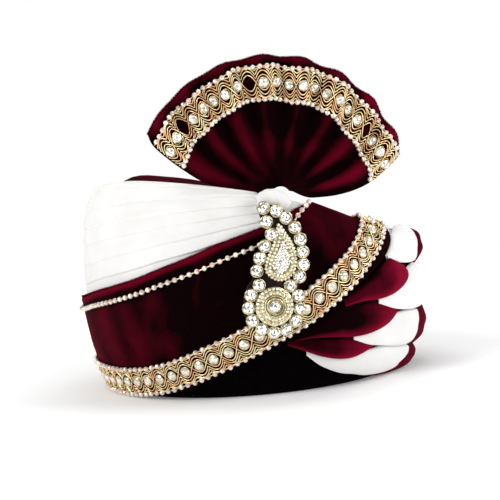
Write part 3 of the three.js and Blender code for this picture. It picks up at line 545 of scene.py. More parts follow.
def rounded(distance, radius):
    """How much of its thickness a piece has at a distance from its rounded edge."""
    return np.sqrt(np.clip(1 - (1 - np.clip(distance / radius, 0, 1)) ** 2, 0, 1))


def both_sides(front, back):
    """Rings that run along the front of a cloth and return along its back."""
    return np.concatenate([front, back[:, ::-1][:, 1:-1]], axis=1)


def velvet_band():
    angles = np.concatenate([np.linspace(-268, -95, 170, endpoint=False), np.linspace(-95, 59.4, 230)])
    a, s = np.meshgrid(angles, cosine_steps(40), indexing="ij")
    low = row_value(BAND_LOWER, angles)[:, None]
    width = band_top(angles)[:, None] - low
    height = low + s * width
    edge = np.minimum(s, 1 - s) * width
    from_top = (1 - s) * width
    groove = GROOVE_DEPTH * bell(from_top, row_value(STRING_DROP, a) + band_raised(a), 1.5)
    roll = BAND_ROLL * bell(from_top, 2.6, 1.8)
    folds = BAND_FOLDS * soft_noise(np.radians(a) * 3.2, s * 5.0, 31) * smooth_step(edge, 2, 8)
    swell = (BAND_THICKNESS + roll - groove + folds) * rounded(edge, BAND_EDGE)
    outer = on_body(a, height, BAND_SEAT + swell)
    inner = on_body(a, height, BAND_SEAT + 0 * a)
    piece = loft("velvet_band_cloth", both_sides(outer, inner), False, maroon_velvet)
    # Painted highlights: the rolled edge, a broad patch on the band's upper half near 26 degrees and a
    # few streaks are painted lighter, as where the light catches them.
    roll_highlight = bell(from_top, 2.0, 2.6) * (0.35 + 0.65 * smooth_step(-a, -12, 30))
    painted_lit = 0.20 * smooth_step(s, 0.0, 0.5) * bell(a, 26, 14)
    for middle, spread, strength in BAND_HIGHLIGHTS:
        drift = middle + 9 * (0.5 - s)
        painted_lit += strength * bell(a, drift, spread) * smooth_step(from_top, 7, 16)
    lean = np.clip(0.75 * roll_highlight + painted_lit, 0, 1)
    set_painted_light(piece, both_sides(lean, lean))
    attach(piece, "root")
    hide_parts("velvet_band")


velvet_band()

# Petal folds at the wearer's left: maroon tongues, white lobes and a maroon crescent behind each
# lobe. A row holds the angle, the lower and upper edge up the cloth, the seat under each edge and
# the thickness. A form holds the share of thickness at the edge, its fullness and its creases.
PETALS = {
    "white_petal_4": ("white", [
        (8, 31, 34, 2.6, 2.2, 0.8), (13, 22.5, 32, 2.6, 1.6, 1.6), (20, 15.6, 29, 2.8, 1.2, 2.6),
        (26, 12.8, 28, 2.9, 1.1, 3.0), (32, 10, 27.8, 2.9, 1.0, 3.2),
        (40, 9, 29.4, 3.4, 1.0, 3.2), (48, 9.4, 28, 3.8, 1.0, 3.0),
        (55, 11.5, 25.5, 3.9, 1.6, 2.4), (61, 15, 21.5, 3.9, 3.2, 1.0)]),
    "velvet_petal_4": ("velvet", [
        (2, 39.5, 43, 3.0, 2.8, 0.7), (6, 36, 43, 3.6, 2.0, 1.8), (12, 30.5, 43, 4.4, 0.9, 2.8),
        (18, 27, 42, 4.6, 0.8, 3.2), (24, 26, 40.5, 4.4, 0.8, 2.6), (30, 28.5, 38, 3.8, 1.2, 1.5),
        (34, 31.5, 34.5, 3.2, 2.2, 0.7)]),
    "white_petal_3": ("white", [
        (24, 38, 42, 4.6, 4.0, 0.7), (31, 32.5, 45, 4.2, 2.6, 1.3), (39, 29.5, 48, 4.2, 1.6, 2.2),
        (46, 27.2, 49.5, 4.3, 1.4, 3.6), (53, 26, 49.5, 4.4, 1.6, 4.0),
        (60, 26.2, 48, 4.2, 1.8, 3.4), (67, 28, 45.5, 3.4, 2.0, 2.6), (72, 31, 42, 3.0, 2.3, 1.4)]),
    "velvet_petal_3": ("velvet", [
        (4, 42, 47.5, 3.4, 3.2, 0.8), (10, 43, 54, 4.2, 1.2, 2.2), (17, 42, 61.5, 5.0, 0.9, 3.2),
        (24, 40.5, 63.5, 5.6, 0.9, 3.9), (31, 41.5, 62.5, 6.0, 1.2, 3.6),
        (39.5, 45, 60, 4.6, 1.6, 2.4), (45, 50.5, 56, 3.5, 2.2, 1.0)]),
    "white_petal_2": ("white", [
        (34, 59, 64, 5.0, 4.2, 0.9), (42, 53.5, 67, 4.8, 3.0, 1.6), (50, 50.5, 71, 4.8, 2.4, 2.6),
        (57, 49.5, 76, 5.2, 1.4, 4.8), (66, 49.4, 77.5, 5.4, 1.0, 5.0),
        (75, 50.4, 76, 5.0, 1.0, 4.6), (84, 53, 72, 4.0, 1.6, 3.6),
        (90, 57, 65, 3.0, 2.0, 1.4)]),
    "velvet_petal_2": ("velvet", [
        (21, 60.8, 71, 4.3, 1.6, 1.2), (24, 61.8, 80, 4.6, 1.8, 2.4),
        (28, 62.5, 85, 5.2, 2.4, 3.4), (34, 62, 88, 6.0, 3.4, 4.2), (40, 63, 88, 6.4, 4.0, 4.4),
        (46, 66, 83.5, 6.6, 4.9, 4.2), (50, 69.5, 79.5, 6.6, 5.4, 3.0),
        (51.5, 73, 76, 6.4, 5.8, 1.6)]),
    "white_petal_1": ("white", [
        (42, 84, 92, 4.2, 3.2, 1.8), (48, 82, 97, 4.0, 2.8, 3.2), (55, 80, 101, 4.4, 2.6, 4.2),
        (62, 79, 103, 4.4, 2.2, 4.8), (68, 79, 104, 3.8, 2.0, 5.4), (73, 80.5, 104, 3.0, 1.9, 6.4),
        (76.5, 83.5, 103, 2.7, 2.1, 7.4), (79, 88, 101, 2.5, 2.3, 5.0)]),
}
CRESCENTS = {
    "velvet_crescent_1": [
        (64, 80, 88, 0.5), (70, 77.5, 92, 0.9), (76, 74.5, 97, 1.3), (78, 73.8, 100, 7.0),
        (80, 73.4, 101.5, 10.8), (82, 73.6, 102, 12.4), (86, 76, 100, 10.4), (90, 82, 95, 4.0)],
    "velvet_crescent_3": [
        (54, 24, 42, 1.5), (62, 21, 44, 5.0), (68, 19, 46, 7.2), (74, 17.6, 49, 8.4),
        (78, 17.4, 50.4, 9.0), (82, 18, 50.4, 8.8), (86, 20, 48.4, 7.0), (91, 25.5, 44, 2.4)],
    "velvet_crescent_4": [
        (27, 13, 18, 0.6), (33, 7, 20, 1.3), (40, 4.2, 20, 3.0), (48, 3.0, 20, 4.4),
        (56, 3.0, 20.3, 5.6), (61, 3.0, 20.4, 6.2), (64, 3.2, 20.5, 6.6), (69, 4.2, 20.5, 7.2),
        (74, 6.4, 20.5, 7.2), (79, 10, 20.4, 6.6), (84, 13.5, 19.4, 2.6)],
}
CRESCENT_SEAT = 0.5
CRESCENT_LIT = 0.38
FORMS = {"white": (0.10, 0.5, 0.03), "velvet": (0.10, 0.5, 0.08), "crescent": (0.06, 0.75, 0.08)}
# How much more or less painted light a velvet petal gets than the others.
PETAL_LIT_MORE = {"velvet_petal_2": 0.16, "velvet_petal_3": -0.12}
BAND_COVERS_TO = 63
UNDER_BAND = -1.4
PAST_BAND = {"white_petal_1": 0.8}
petal_cloth = white_cloth("petal_cloth", (0.86, 0.85, 0.83), (0.92, 0.915, 0.90))
# The petals' velvet is the maroon velvet with a lighter lit colour: painted highlight.
petal_velvet = velvet("petal_velvet", (0.004, 0.0002, 0.0008), (0.23, 0.003, 0.024), 0.13,
                      (0.65, 0.008, 0.07), 34.0)


def petal(name, kind, rows):
    first, last = rows[0][0], rows[-1][0]
    angles = np.linspace(first, last, 90)
    lower, upper, under, over, thick = (row_value(rows, angles, c)[:, None] for c in (1, 2, 3, 4, 5))
    a, s = np.meshgrid(angles, cosine_steps(36), indexing="ij")
    band = row_value(BAND_LOWER, angles)[:, None] + PAST_BAND.get(name, UNDER_BAND)
    upper = np.where(a < BAND_COVERS_TO, np.minimum(upper, band), upper)
    edge, power, crease = FORMS[kind]
    body = edge + (1 - edge) * np.clip(np.sin(np.pi * s), 0, 1) ** power
    along = (a - first) / (last - first)
    waves = np.cos(s * 2 * np.pi * 3.0 + 1.2 * along) * np.sin(np.pi * s)
    creases = crease * waves * (1 - 0.6 * along)
    seat = under + (over - under) * s
    height = lower + (upper - lower) * s
    outer = on_body(a, height, seat + thick * (body * (1 + creases)))
    rings = both_sides(outer, on_body(a, height, seat))
    piece = loft(name + "_fold", rings, False, petal_cloth if kind == "white" else petal_velvet)
    # Painted light: the tip and the lower edge are painted lighter as painted highlights, and the top
    # darker as painted shade.
    lean = (0.08 + 0.80 * smooth_step(along, 0.42, 0.95) + 0.65 * bell(s, 0, 0.2)
            - 0.25 * smooth_step(s, 0.75, 1.0) + PETAL_LIT_MORE.get(name, 0))
    # The crescents get one level of painted light all over.
    if kind == "crescent":
        lean = CRESCENT_LIT + 0 * along
    set_painted_light(piece, both_sides(lean, lean))
    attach(piece, "root")
    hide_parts(name)


for petal_name, (petal_kind, petal_rows) in PETALS.items():
    petal(petal_name, petal_kind, petal_rows)
for petal_name, petal_rows in CRESCENTS.items():
    petal(petal_name, "crescent", [(a, low, high, CRESCENT_SEAT, CRESCENT_SEAT, thick)
                                   for a, low, high, thick in petal_rows])

# Knot. A short roll of the white cloth at the front of the rim. The winding is gathered under it,
# and the neck of the fan is held behind it.
KNOT = {"left": -7.6, "length": 22.2, "y": -119.2, "z": 128.4, "level_at": 6.5, "fall": 0.12,
        "depth": 7.2, "height": 7.8}


def knot():
    share = 0.5 - 0.5 * np.cos(np.linspace(0.02, 1, 60) * np.pi * 0.985)
    turn = np.linspace(0, 2 * np.pi, 72, endpoint=False)
    s, t = np.meshgrid(share, turn, indexing="ij")
    swell = np.sqrt(np.clip(np.sin(np.pi * (0.02 + 0.96 * s)), 0, 1))
    ridges = 1 - 0.035 * (0.5 + 0.5 * np.cos(2 * np.pi * 4 * s + 1.4 * np.sin(t + 0.6))) ** 2
    x = KNOT["left"] + KNOT["length"] * s
    y = KNOT["y"] + KNOT["depth"] * swell * ridges * np.cos(t)
    middle = KNOT["z"] - KNOT["fall"] * (x - KNOT["level_at"])
    z = middle + KNOT["height"] * swell * ridges * np.sin(t)
    piece = loft("knot_roll", np.stack([x, y, z], -1), False, winding_cloth)
    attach(piece, "root")
    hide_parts("knot")


knot()

# Fan. A half disc of maroon velvet, folded double and pleated eight times from a neck behind the
# knot. It stands upright at the front of the rim, with a puffed edge beyond its lace. Its sides
# are rows of the radius and the direction of the right and the left edge in degrees.
FAN_HUB = np.array([9.8, -97.0, 130.0])
FAN_THICKNESS = 2.5
FAN_PLEATS = 8
FAN_WAVE = 0.05
FAN_NECK = 7
FAN_REACH = 89
FAN_GROWTH = 5.8
FAN_BOW = 0.5
FAN_SCALLOP = 0.7
FAN_TILT = 0.03
FAN_EDGE = 1.9
FAN_PUFF = 0.5
FAN_FOLDS = 0.35
NECK_FORWARD = 15.7
FAN_SIDES = [(7, 30, 150), (12, 4, 163), (20, -7.6, 169), (30, -7.2, 168), (48, -3.0, 164.5),
             (63.5, 2, 159.5), (76, 7.4, 156), (88.5, 12.5, 152.5), (94, 17, 149.5)]


def pleat(share, shift=0.0):
    """The wave of the pleats across the fan, 1 at the crest of each and -1 in its valley."""
    return np.cos(2 * np.pi * (FAN_PLEATS * share - 0.5) + shift)


def fan_reach(share):
    return (FAN_REACH + FAN_GROWTH * share + FAN_BOW * np.sin(np.pi * share)
            + FAN_SCALLOP * pleat(share))


def on_fan(radius, share, offset):
    radius, share, offset = np.broadcast_arrays(radius, share, offset)
    right, left = row_value(FAN_SIDES, radius, 1), row_value(FAN_SIDES, radius, 2)
    turn = np.radians(right + (left - right) * share)
    to_knot = NECK_FORWARD * (1 - smooth_step(radius, FAN_NECK, 26))
    y = FAN_HUB[1] + FAN_TILT * radius - FAN_WAVE * radius * pleat(share) - offset - to_knot
    return np.stack([FAN_HUB[0] + radius * np.cos(turn), y, FAN_HUB[2] + radius * np.sin(turn)], -1)


def fan():
    share = np.linspace(0, 1, 420)
    rim = 0.9 + 0.1 * np.sin(np.linspace(0.1, np.pi / 2, 12))
    s, u = np.meshgrid(share, np.concatenate([np.linspace(0, 0.9, 36), rim]), indexing="ij")
    radius = FAN_NECK + (fan_reach(s) - FAN_NECK) * u
    to_edge = np.minimum(fan_reach(s) - radius, 40)
    side = np.minimum(s, 1 - s) * np.radians(150) * radius
    edge = rounded(np.minimum(to_edge, side), FAN_EDGE)
    puff = FAN_PUFF * bell(to_edge, 3.4, 2.2)
    folds = FAN_FOLDS * soft_noise(s * 60, radius / 30, 41) * smooth_step(radius, 12, 40)
    folds = folds * (1 - smooth_step(radius, 56, 62))
    swell = (puff + folds) * edge - 0.5 * FAN_THICKNESS * (1 - edge)
    front = on_fan(radius, s, swell)
    back = on_fan(radius, s, -FAN_THICKNESS - swell)
    rings = np.concatenate([front, back[:, ::-1]], axis=1)
    piece = loft("fan_velvet", rings, False, maroon_velvet)
    ridge = 0.5 + 0.5 * pleat(s, 0.5 * soft_noise(s * 9, radius / 25, 59) - 0.6)
    from_middle = np.abs(2 * s - 1)
    uneven = 0.55 + 0.45 * soft_noise(s * 14, 0 * s, 57)
    # Painted highlights: each crest is painted lighter, the outer pleats more than the middle ones and
    # unevenly, and so is the outer edge.
    lit = (0.30 + 0.75 * from_middle**1.3) * ridge**(3 - 1.6 * from_middle)
    lean = lit * uneven * smooth_step(radius, 14, 40) + 0.34 * bell(to_edge, 0, 3)
    lean = np.clip(lean, 0, 1)
    set_painted_light(piece, np.concatenate([lean, lean[:, ::-1]], axis=1))
    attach(piece, "root")
    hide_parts("fan")


fan()

# Bead string. Small cut-glass beads on a gold thread, couched along the band a little below its
# rolled edge, from the back of the turban to just past the knot.
BEAD_RADIUS = 1.75
BEAD_PITCH = 5.5
STRING_FROM = -264
STRING_TO = 14.5
STRING_THREAD = 0.45
STRING_SUNK = 0.15


def speckled(name, dark, light, scale, rough, metal, coat=0.0, specular=0.5, low=0.35, high=0.65):
    """A finish whose colour varies from bead to bead or along a thread."""
    material = shader_material(name, Roughness=rough, Metallic=metal, Coat_Weight=coat,
                               Coat_Roughness=0.06, Specular_IOR_Level=specular)
    tree = material.node_tree
    where = tree.nodes.new("ShaderNodeTexCoord").outputs["Object"]
    noise = tree_add(tree, "ShaderNodeTexNoise", [(where, "Vector")], Scale=scale, Detail=1.0)
    paint(tree, noise.outputs["Fac"], [(low, dark), (high, light)])
    return material


bead_glass = speckled("bead_glass", (0.80, 0.62, 0.50), (1.0, 0.92, 0.84), 420, 0.10, 0.35, 0.8)
gold_thread = speckled("gold_thread", (0.95, 0.56, 0.28), (1.0, 0.87, 0.50), 150, 0.22, 0.65,
                       low=0.40, high=0.60)


def growing_tree(name, inputs):
    """A Geometry Nodes tree from a mesh to a mesh, with more inputs and a material."""
    tree, given, out = new_tree(name, "GeometryNodeTree", [
        ("Geometry", "NodeSocketGeometry", None), *inputs, ("Material", "NodeSocketMaterial", None)],
        [("Geometry", "NodeSocketGeometry")])
    tree.is_modifier = True
    return tree, given, out


def grow_out(tree, geometry, given, out):
    """Ends a tree by putting its material on what it has made."""
    set_to = tree_add(tree, "GeometryNodeSetMaterial", [
        (geometry, "Geometry"), (given.outputs["Material"], "Material")])
    tree.links.new(set_to.outputs[0], out.inputs["Geometry"])
    return tree


def bead_tree():
    """A cut bead on each point, each turned its own way."""
    tree, given, out = growing_tree("beads_on_points", [
        ("Radius", "NodeSocketFloat", 0.0015), ("Seed", "NodeSocketInt", 5)])
    ball = tree_add(tree, "GeometryNodeMeshIcoSphere", [(given.outputs["Radius"], "Radius")],
                    Subdivisions=2)
    turn = tree_add(tree, "FunctionNodeRandomValue", [(given.outputs["Seed"], "Seed")],
                    {"data_type": "FLOAT_VECTOR"})
    turn.inputs[1].default_value = (6.28, 6.28, 6.28)
    on = tree_add(tree, "GeometryNodeInstanceOnPoints", [
        (given.outputs["Geometry"], "Points"), (ball.outputs["Mesh"], "Instance"),
        (turn.outputs[0], "Rotation")])
    real = tree_add(tree, "GeometryNodeRealizeInstances", [(on.outputs[0], "Geometry")])
    flat = tree_add(tree, "GeometryNodeSetShadeSmooth", [(real.outputs[0], "Geometry")],
                    Shade_Smooth=False)
    return grow_out(tree, flat.outputs[0], given, out)


def cord_tree():
    """A round thread along every chain of edges."""
    tree, given, out = growing_tree("threads_on_edges", [
        ("Radius", "NodeSocketFloat", 0.0005), ("Sides", "NodeSocketInt", 6)])
    curve = tree_add(tree, "GeometryNodeMeshToCurve", [(given.outputs["Geometry"], "Mesh")])
    ring = tree_add(tree, "GeometryNodeCurvePrimitiveCircle", [
        (given.outputs["Sides"], "Resolution"), (given.outputs["Radius"], "Radius")])
    tube = tree_add(tree, "GeometryNodeCurveToMesh", [
        (curve.outputs[0], "Curve"), (ring.outputs["Curve"], "Profile Curve")], Fill_Caps=True)
    smooth = tree_add(tree, "GeometryNodeSetShadeSmooth", [(tube.outputs[0], "Geometry")])
    return grow_out(tree, smooth.outputs[0], given, out)


def grown(name, points, edges, tree, values, arrows=None):
    """Runs a node tree on bare points or edges, and keeps what it makes as a plain mesh."""
    mesh = bpy.data.meshes.new(name)
    mesh.from_pydata(((np.asarray(points, float) + PLACE) * MM).tolist(), edges, [])
    for label, vectors in (arrows or {}).items():
        layer = mesh.attributes.new(label, "FLOAT_VECTOR", "POINT")
        layer.data.foreach_set("vector", np.asarray(vectors, np.float32).ravel())
    piece = bpy.data.objects.new(name, mesh)
    bpy.context.scene.collection.objects.link(piece)
    maker = piece.modifiers.new(tree.name, "NODES")
    maker.node_group = tree
    for item in tree.interface.items_tree:
        if item.item_type == "SOCKET" and item.in_out == "INPUT" and item.name in values:
            maker[item.identifier] = values[item.name]
    piece.update_tag()
    bpy.context.view_layer.update()
    seen = piece.evaluated_get(bpy.context.evaluated_depsgraph_get())
    made = bpy.data.meshes.new_from_object(seen)
    piece.modifiers.clear()
    piece.data = made
    made.name = name
    return piece


beads_on_points = bead_tree()
threads_on_edges = cord_tree()


def beads(name, points, radius, material, seed=5):
    return grown(name, points, [], beads_on_points,
                 {"Radius": radius * MM, "Seed": seed, "Material": material})


def threads(name, paths, radius, material):
    points = np.concatenate(paths)
    edges = []
    first = 0
    for path in paths:
        edges += [(first + i, first + i + 1) for i in range(len(path) - 1)]
        first += len(path)
    return grown(name, points, edges, threads_on_edges,
                 {"Radius": radius * MM, "Sides": 6, "Material": material})


def beside(rows, angle, distance):
    """The angle and height of a point at a distance square to a path on the body."""
    angle = np.asarray(angle, float)
    rise = row_value(rows, angle + 1) - row_value(rows, angle - 1)
    slope = np.arctan2(rise, np.radians(2) * body_radius(angle))
    return (angle - np.degrees(distance * np.sin(slope) / body_radius(angle)),
            row_value(rows, angle) + distance * np.cos(slope))


def lengths_along(spots):
    return np.concatenate([[0], np.cumsum(np.linalg.norm(np.diff(spots, axis=0), axis=1))])


def path_angles(rows, first, last, across, offset):
    """A fine list of angles along a path on the body, with the length of the path up to each."""
    angles = np.linspace(first, last, 1600)
    return angles, lengths_along(on_body(*beside(rows, angles, across(angles)), offset))


def bead_string():
    middle = BAND_SEAT + BAND_THICKNESS + BEAD_RADIUS - STRING_SUNK

    def below_edge(angle):
        return -row_value(STRING_DROP, angle)

    def along(lengths, angles, count, out):
        at = np.interp(np.linspace(0, lengths[-1], count), lengths, angles)
        return on_body(*beside(BAND_UPPER, at, below_edge(at)), out)

    angles, lengths = path_angles(BAND_UPPER, STRING_FROM, STRING_TO, below_edge, middle)
    count = int(lengths[-1] / BEAD_PITCH)
    spots = along(lengths, angles, count, middle)
    piece = beads("bead_string_beads", spots, BEAD_RADIUS * 1.04, bead_glass)
    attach(piece, "root")
    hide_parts("band_pearls")
    line = along(lengths, angles, count * 4, middle - 0.3)
    thread = threads("bead_string_thread", [line], STRING_THREAD, gold_thread)
    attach(thread, "root")


bead_string()

# Gold lace. Openwork of doubled gold cords that cross around a row of flat-backed stones, on a
# strip of dark red velvet, with a string of beads along each edge. One length runs along the lower
# edge of the band and a wider one is bent round inside the edge of the fan.
BAND_LACE = {"half": 10.4, "cell": 11.5, "edges": (-9.1, 8.8), "bead_pitch": 5.6, "stone": 3.15,
             "empty": ()}
FAN_LACE = {"half": 12.5, "cell": 10.65, "edges": (-11.2, 11.0), "bead_pitch": 4.8, "stone": 3.35,
            "empty": (3, 13, 19)}
CUSPS = ((0.17, 0.47, 0.8), (0.38, 0.43, 0.75), (0.62, 0.20, 0.6))
LACE_CORD = 0.40
LACE_BEAD = 1.72
LACE_BEZEL = 0.30
BEZEL_MARGIN = 0.15
LOWEST_BEAD = 1.8
STONE_ROWS = [(0.5, 8, 0.20, 0.60), (0.0, 8, 0.40, 0.50), (0.5, 8, 0.62, 0.62),
              (0.0, 8, 0.84, 0.42), (0.0, 16, 1.0, 0.16), (0.0, 16, 0.97, 0.0)]
LACE_MIDDLE = [(-247, 16.8), (-90, 16.8), (-72, 16.6), (-60, 16.8), (-51, 18), (-42, 20.5),
               (-35, 24), (-27, 29.5), (-18, 36.8), (-10, 44.2), (-2, 52.5), (7, 61.5),
               (11.4, 67.5), (16, 73.6), (22, 81.5), (28.4, 91), (34.4, 100), (40.2, 107.6),
               (46.6, 114), (51, 118)]
# The lace ground is a copy of the velvet painted darker than the band, as painted shade in the gaps
# between the cords.
ground_velvet = velvet("lace_ground", (0.008, 0.0004, 0.001), (0.10, 0.003, 0.008), 0.1,
                     (0.8, 0.1, 0.1), 60.0)
lace_stone = speckled("lace_stone", (0.74, 0.66, 0.56), (1.0, 0.96, 0.88), 160, 0.06, 0.55, 0.6,
                      0.8, 0.30, 0.55)
setting_gold = speckled("setting_gold", (0.36, 0.24, 0.08), (0.90, 0.72, 0.38), 380, 0.3, 0.9)


def cut_stone(name, material):
    """A round stone of radius 1: the pavilion seen through its table, two rows of facets, a back."""
    points = []
    rings = []
    for shift, sides, radius, height in STONE_ROWS:
        turn = 2 * np.pi * (np.arange(sides) + shift) / sides
        rings.append(list(range(len(points), len(points) + sides)))
        points += [(radius * np.cos(t), radius * np.sin(t), height) for t in turn]
    culet, star, table, crown, girdle, back = rings
    faces = [culet]
    for k in range(8):
        n = (k + 1) % 8
        faces.append([culet[k - 1], star[k], culet[k]])
        faces.append([culet[k], star[k], star[n]])
        faces.append([star[k], table[k - 1], table[k]])
        faces.append([star[k], table[k], star[n]])
        faces.append([table[k - 1], crown[k], table[k]])
        faces.append([table[k], crown[k], girdle[(2 * k + 1) % 16], crown[n]])
        faces.append([crown[k], girdle[2 * k], girdle[2 * k + 1]])
        faces.append([crown[k], girdle[2 * k - 1], girdle[2 * k]])
    for k in range(16):
        n = (k + 1) % 16
        faces.append([girdle[k], back[k], back[n], girdle[n]])
    faces.append(back[::-1])
    return new_object(name, points, faces, material)


def arrows_in(tree, name):
    """What a vector attribute of the points holds."""
    node = tree_add(tree, "GeometryNodeInputNamedAttribute", settings={"data_type": "FLOAT_VECTOR"},
                    Name=name)
    return node.outputs["Attribute"]


def stone_tree():
    """A cut stone on each point, its table facing the way the point's arrow says."""
    tree, given, out = growing_tree("stones_on_points", [("Stone", "NodeSocketObject", None)])
    info = tree_add(tree, "GeometryNodeObjectInfo", [(given.outputs["Stone"], "Object")])
    facing = tree_add(tree, "FunctionNodeAlignRotationToVector", [
        (arrows_in(tree, "facing"), "Vector")], {"axis": "Z"})
    on = tree_add(tree, "GeometryNodeInstanceOnPoints", [
        (given.outputs["Geometry"], "Points"), (info.outputs["Geometry"], "Instance"),
        (facing.outputs[0], "Rotation"), (arrows_in(tree, "size"), "Scale")])
    real = tree_add(tree, "GeometryNodeRealizeInstances", [(on.outputs[0], "Geometry")])
    return grow_out(tree, real.outputs[0], given, out)


stones_on_points = stone_tree()
round_cut = cut_stone("round_cut", lace_stone)


def stones(name, points, facing, sizes, material, tilt=0.06, pattern=round_cut):
    """Cut stones, each set a little askew as hand-set stones are."""
    askew = np.random.default_rng(len(points)).normal(0, tilt, (len(points), 3))
    return grown(name, points, [], stones_on_points, {"Stone": pattern, "Material": material},
                 {"facing": unit(facing) + askew, "size": sizes})


def lace_cords(node, place, length, cell, lace):
    """Two cords that cross between the stones, cusps nested outside them, and two straight edges."""
    fine = np.arange(0, length, 0.9)
    phase = np.pi * fine / cell
    peak = np.abs(np.sin(phase))
    sway = 0.35 * np.sin(phase * 0.31 + 1.0)
    paths = []
    for side in (-1, 1):
        half = side * lace["half"]
        weave = half * (0.46 + 0.05 * np.sin(phase * 0.43)) * np.sin(phase) + sway
        paths.append(place(fine, weave, 1.2 + 0.45 * side * np.cos(phase)))
        for foot, rise, sharp in CUSPS:
            cusp = half * (foot + rise * peak**sharp) + sway
            paths.append(place(fine, cusp, 1.0 + 0.35 * peak + 0.15 * np.cos(6 * phase)))
    for across in lace["edges"]:
        paths.append(place(fine, across + 0 * fine, 1.0 + 0 * fine))
    cords = threads(node + "_cords", paths, LACE_CORD, gold_thread)
    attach(cords, "root")
    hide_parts(node)


def lace_beads(node, place, length, cells, lace):
    """A row of beads along each edge, sewn on by hand and so not quite evenly."""
    uneven = np.random.default_rng(cells)
    pitch = lace["bead_pitch"]
    count = int(length / pitch)
    rows = []
    for across in lace["edges"]:
        at = np.linspace(pitch / 2, length - pitch / 2, count) + uneven.uniform(-0.35, 0.35, count)
        rows.append(place(at, across + uneven.uniform(-0.25, 0.25, count), 1.5 + 0 * at))
    spots = np.concatenate(rows)
    spots[:, 2] = np.maximum(spots[:, 2], LOWEST_BEAD)
    row_beads = beads(node + "_beads", spots, LACE_BEAD, bead_glass, 9)
    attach(row_beads, "root")


def lace_stones(node, place, cell, cells, lace):
    """A stone in the middle of each cell but the empty ones, each in a round bezel."""
    stone = lace["stone"]
    centres = np.array([(i + 0.5) * cell for i in range(cells) if i not in lace["empty"]])
    mids = 0 * centres
    facing = place(centres, mids, mids + 1.2) - place(centres, mids, mids + 1.0)
    sizes = np.tile([stone, stone, stone * 0.8], (len(centres), 1)) * MM
    gems = stones(node + "_stones", place(centres, mids, mids + 1.0), facing, sizes, lace_stone)
    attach(gems, "root")
    turn = np.linspace(0, 2 * np.pi, 17)
    radius = stone + BEZEL_MARGIN
    rings = [place(c + radius * np.cos(turn), radius * np.sin(turn), 1.3 + 0 * turn) for c in centres]
    bezels = threads(node + "_bezels", rings, LACE_BEZEL, setting_gold)
    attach(bezels, "root")


def lace_ground(node, place, length, half):
    along = np.linspace(0, length, max(60, int(length / 2.2)))
    shares = np.concatenate([[-1], np.linspace(-0.98, 0.98, 9), [1]]) * half
    s, c = np.meshgrid(along, shares, indexing="ij")
    top = place(s.ravel(), c.ravel(), 0.55 - 0.35 * (np.abs(c.ravel()) > 0.99 * half))
    under = place(s.ravel(), c.ravel(), 0 * s.ravel())
    ground = np.concatenate([top.reshape(*s.shape, 3), under.reshape(*s.shape, 3)[:, ::-1]], axis=1)
    strip = loft(node + "_ground", ground, False, ground_velvet)
    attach(strip, "root")


def sew_lace(node, place, length, lace):
    """place(along, across, out) gives a point of the lace in millimetres."""
    cells = round(length / lace["cell"])
    cell = length / cells
    lace_cords(node, place, length, cell, lace)
    lace_beads(node, place, length, cells, lace)
    lace_stones(node, place, cell, cells, lace)
    lace_ground(node, place, length, lace["half"])


band_lace_angles, band_lace_lengths = path_angles(
    LACE_MIDDLE, -262, 49.5, lambda angle: 0 * angle, BAND_SEAT + BAND_THICKNESS)


def on_band_lace(along, across, out):
    angle = np.interp(along, band_lace_lengths, band_lace_angles)
    out = BAND_SEAT + BAND_THICKNESS + 0.5 + 1.1 * smooth_step(angle, 32, 44) + out
    return on_body(*beside(LACE_MIDDLE, angle, across), out)


sew_lace("band_lace", on_band_lace, float(band_lace_lengths[-1]), BAND_LACE)

FAN_LACE_RADIUS = 76
fan_lace_shares = np.linspace(0.004, 0.996, 1200)
fan_lace_lengths = lengths_along(
    on_fan(FAN_LACE_RADIUS * (0.975 + 0.03 * fan_lace_shares), fan_lace_shares, 1.0))


def on_fan_lace(along, across, out):
    share = np.interp(along, fan_lace_lengths, fan_lace_shares)
    sway = (0.8 * np.sin(2 * np.pi * 3.4 * share + 0.7)
            + 0.5 * np.sin(2 * np.pi * FAN_PLEATS * share))
    return on_fan((0.975 + 0.03 * share) * (FAN_LACE_RADIUS + across) + sway, share, 0.7 + out)


sew_lace("fan_lace", on_fan_lace, float(fan_lace_lengths[-1]), FAN_LACE)

# Pile. The velvet's short upright fibres, which show as a soft fringe along the fan's edge and
# along the band's rolled edge. Each is a thin spike of the same maroon velvet.
FIBRE_RADIUS = 0.14
FAN_FIBRES = 9000
BAND_FIBRES = 6000


def pile_fibre(name, material):
    """A three-sided spike of radius 1 and height 1."""
    turn = 2 * np.pi * np.arange(3) / 3
    points = [(math.cos(t), math.sin(t), 0) for t in turn] + [(0, 0, 1)]
    return new_object(name, points, [(2, 1, 0), (0, 1, 3), (1, 2, 3), (2, 0, 3)], material)


def pile(name, roots, tips, nap, seed):
    """Fibres of uneven length from each root, leaning about the line to its tip."""
    rng = np.random.default_rng(seed)
    toward = unit(tips - roots) + rng.normal(0, 0.45, roots.shape)
    reach = rng.uniform(0.8, 1.8, len(roots))
    sizes = np.stack([0 * reach + FIBRE_RADIUS, 0 * reach + FIBRE_RADIUS, reach], -1) * MM
    fibre = pile_fibre(name + "_one", maroon_velvet)
    fibres = stones(name, roots, toward, sizes, maroon_velvet, 0.0, fibre)
    set_painted_light(fibres, np.full(len(fibres.data.vertices), nap))
    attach(fibres, "root")


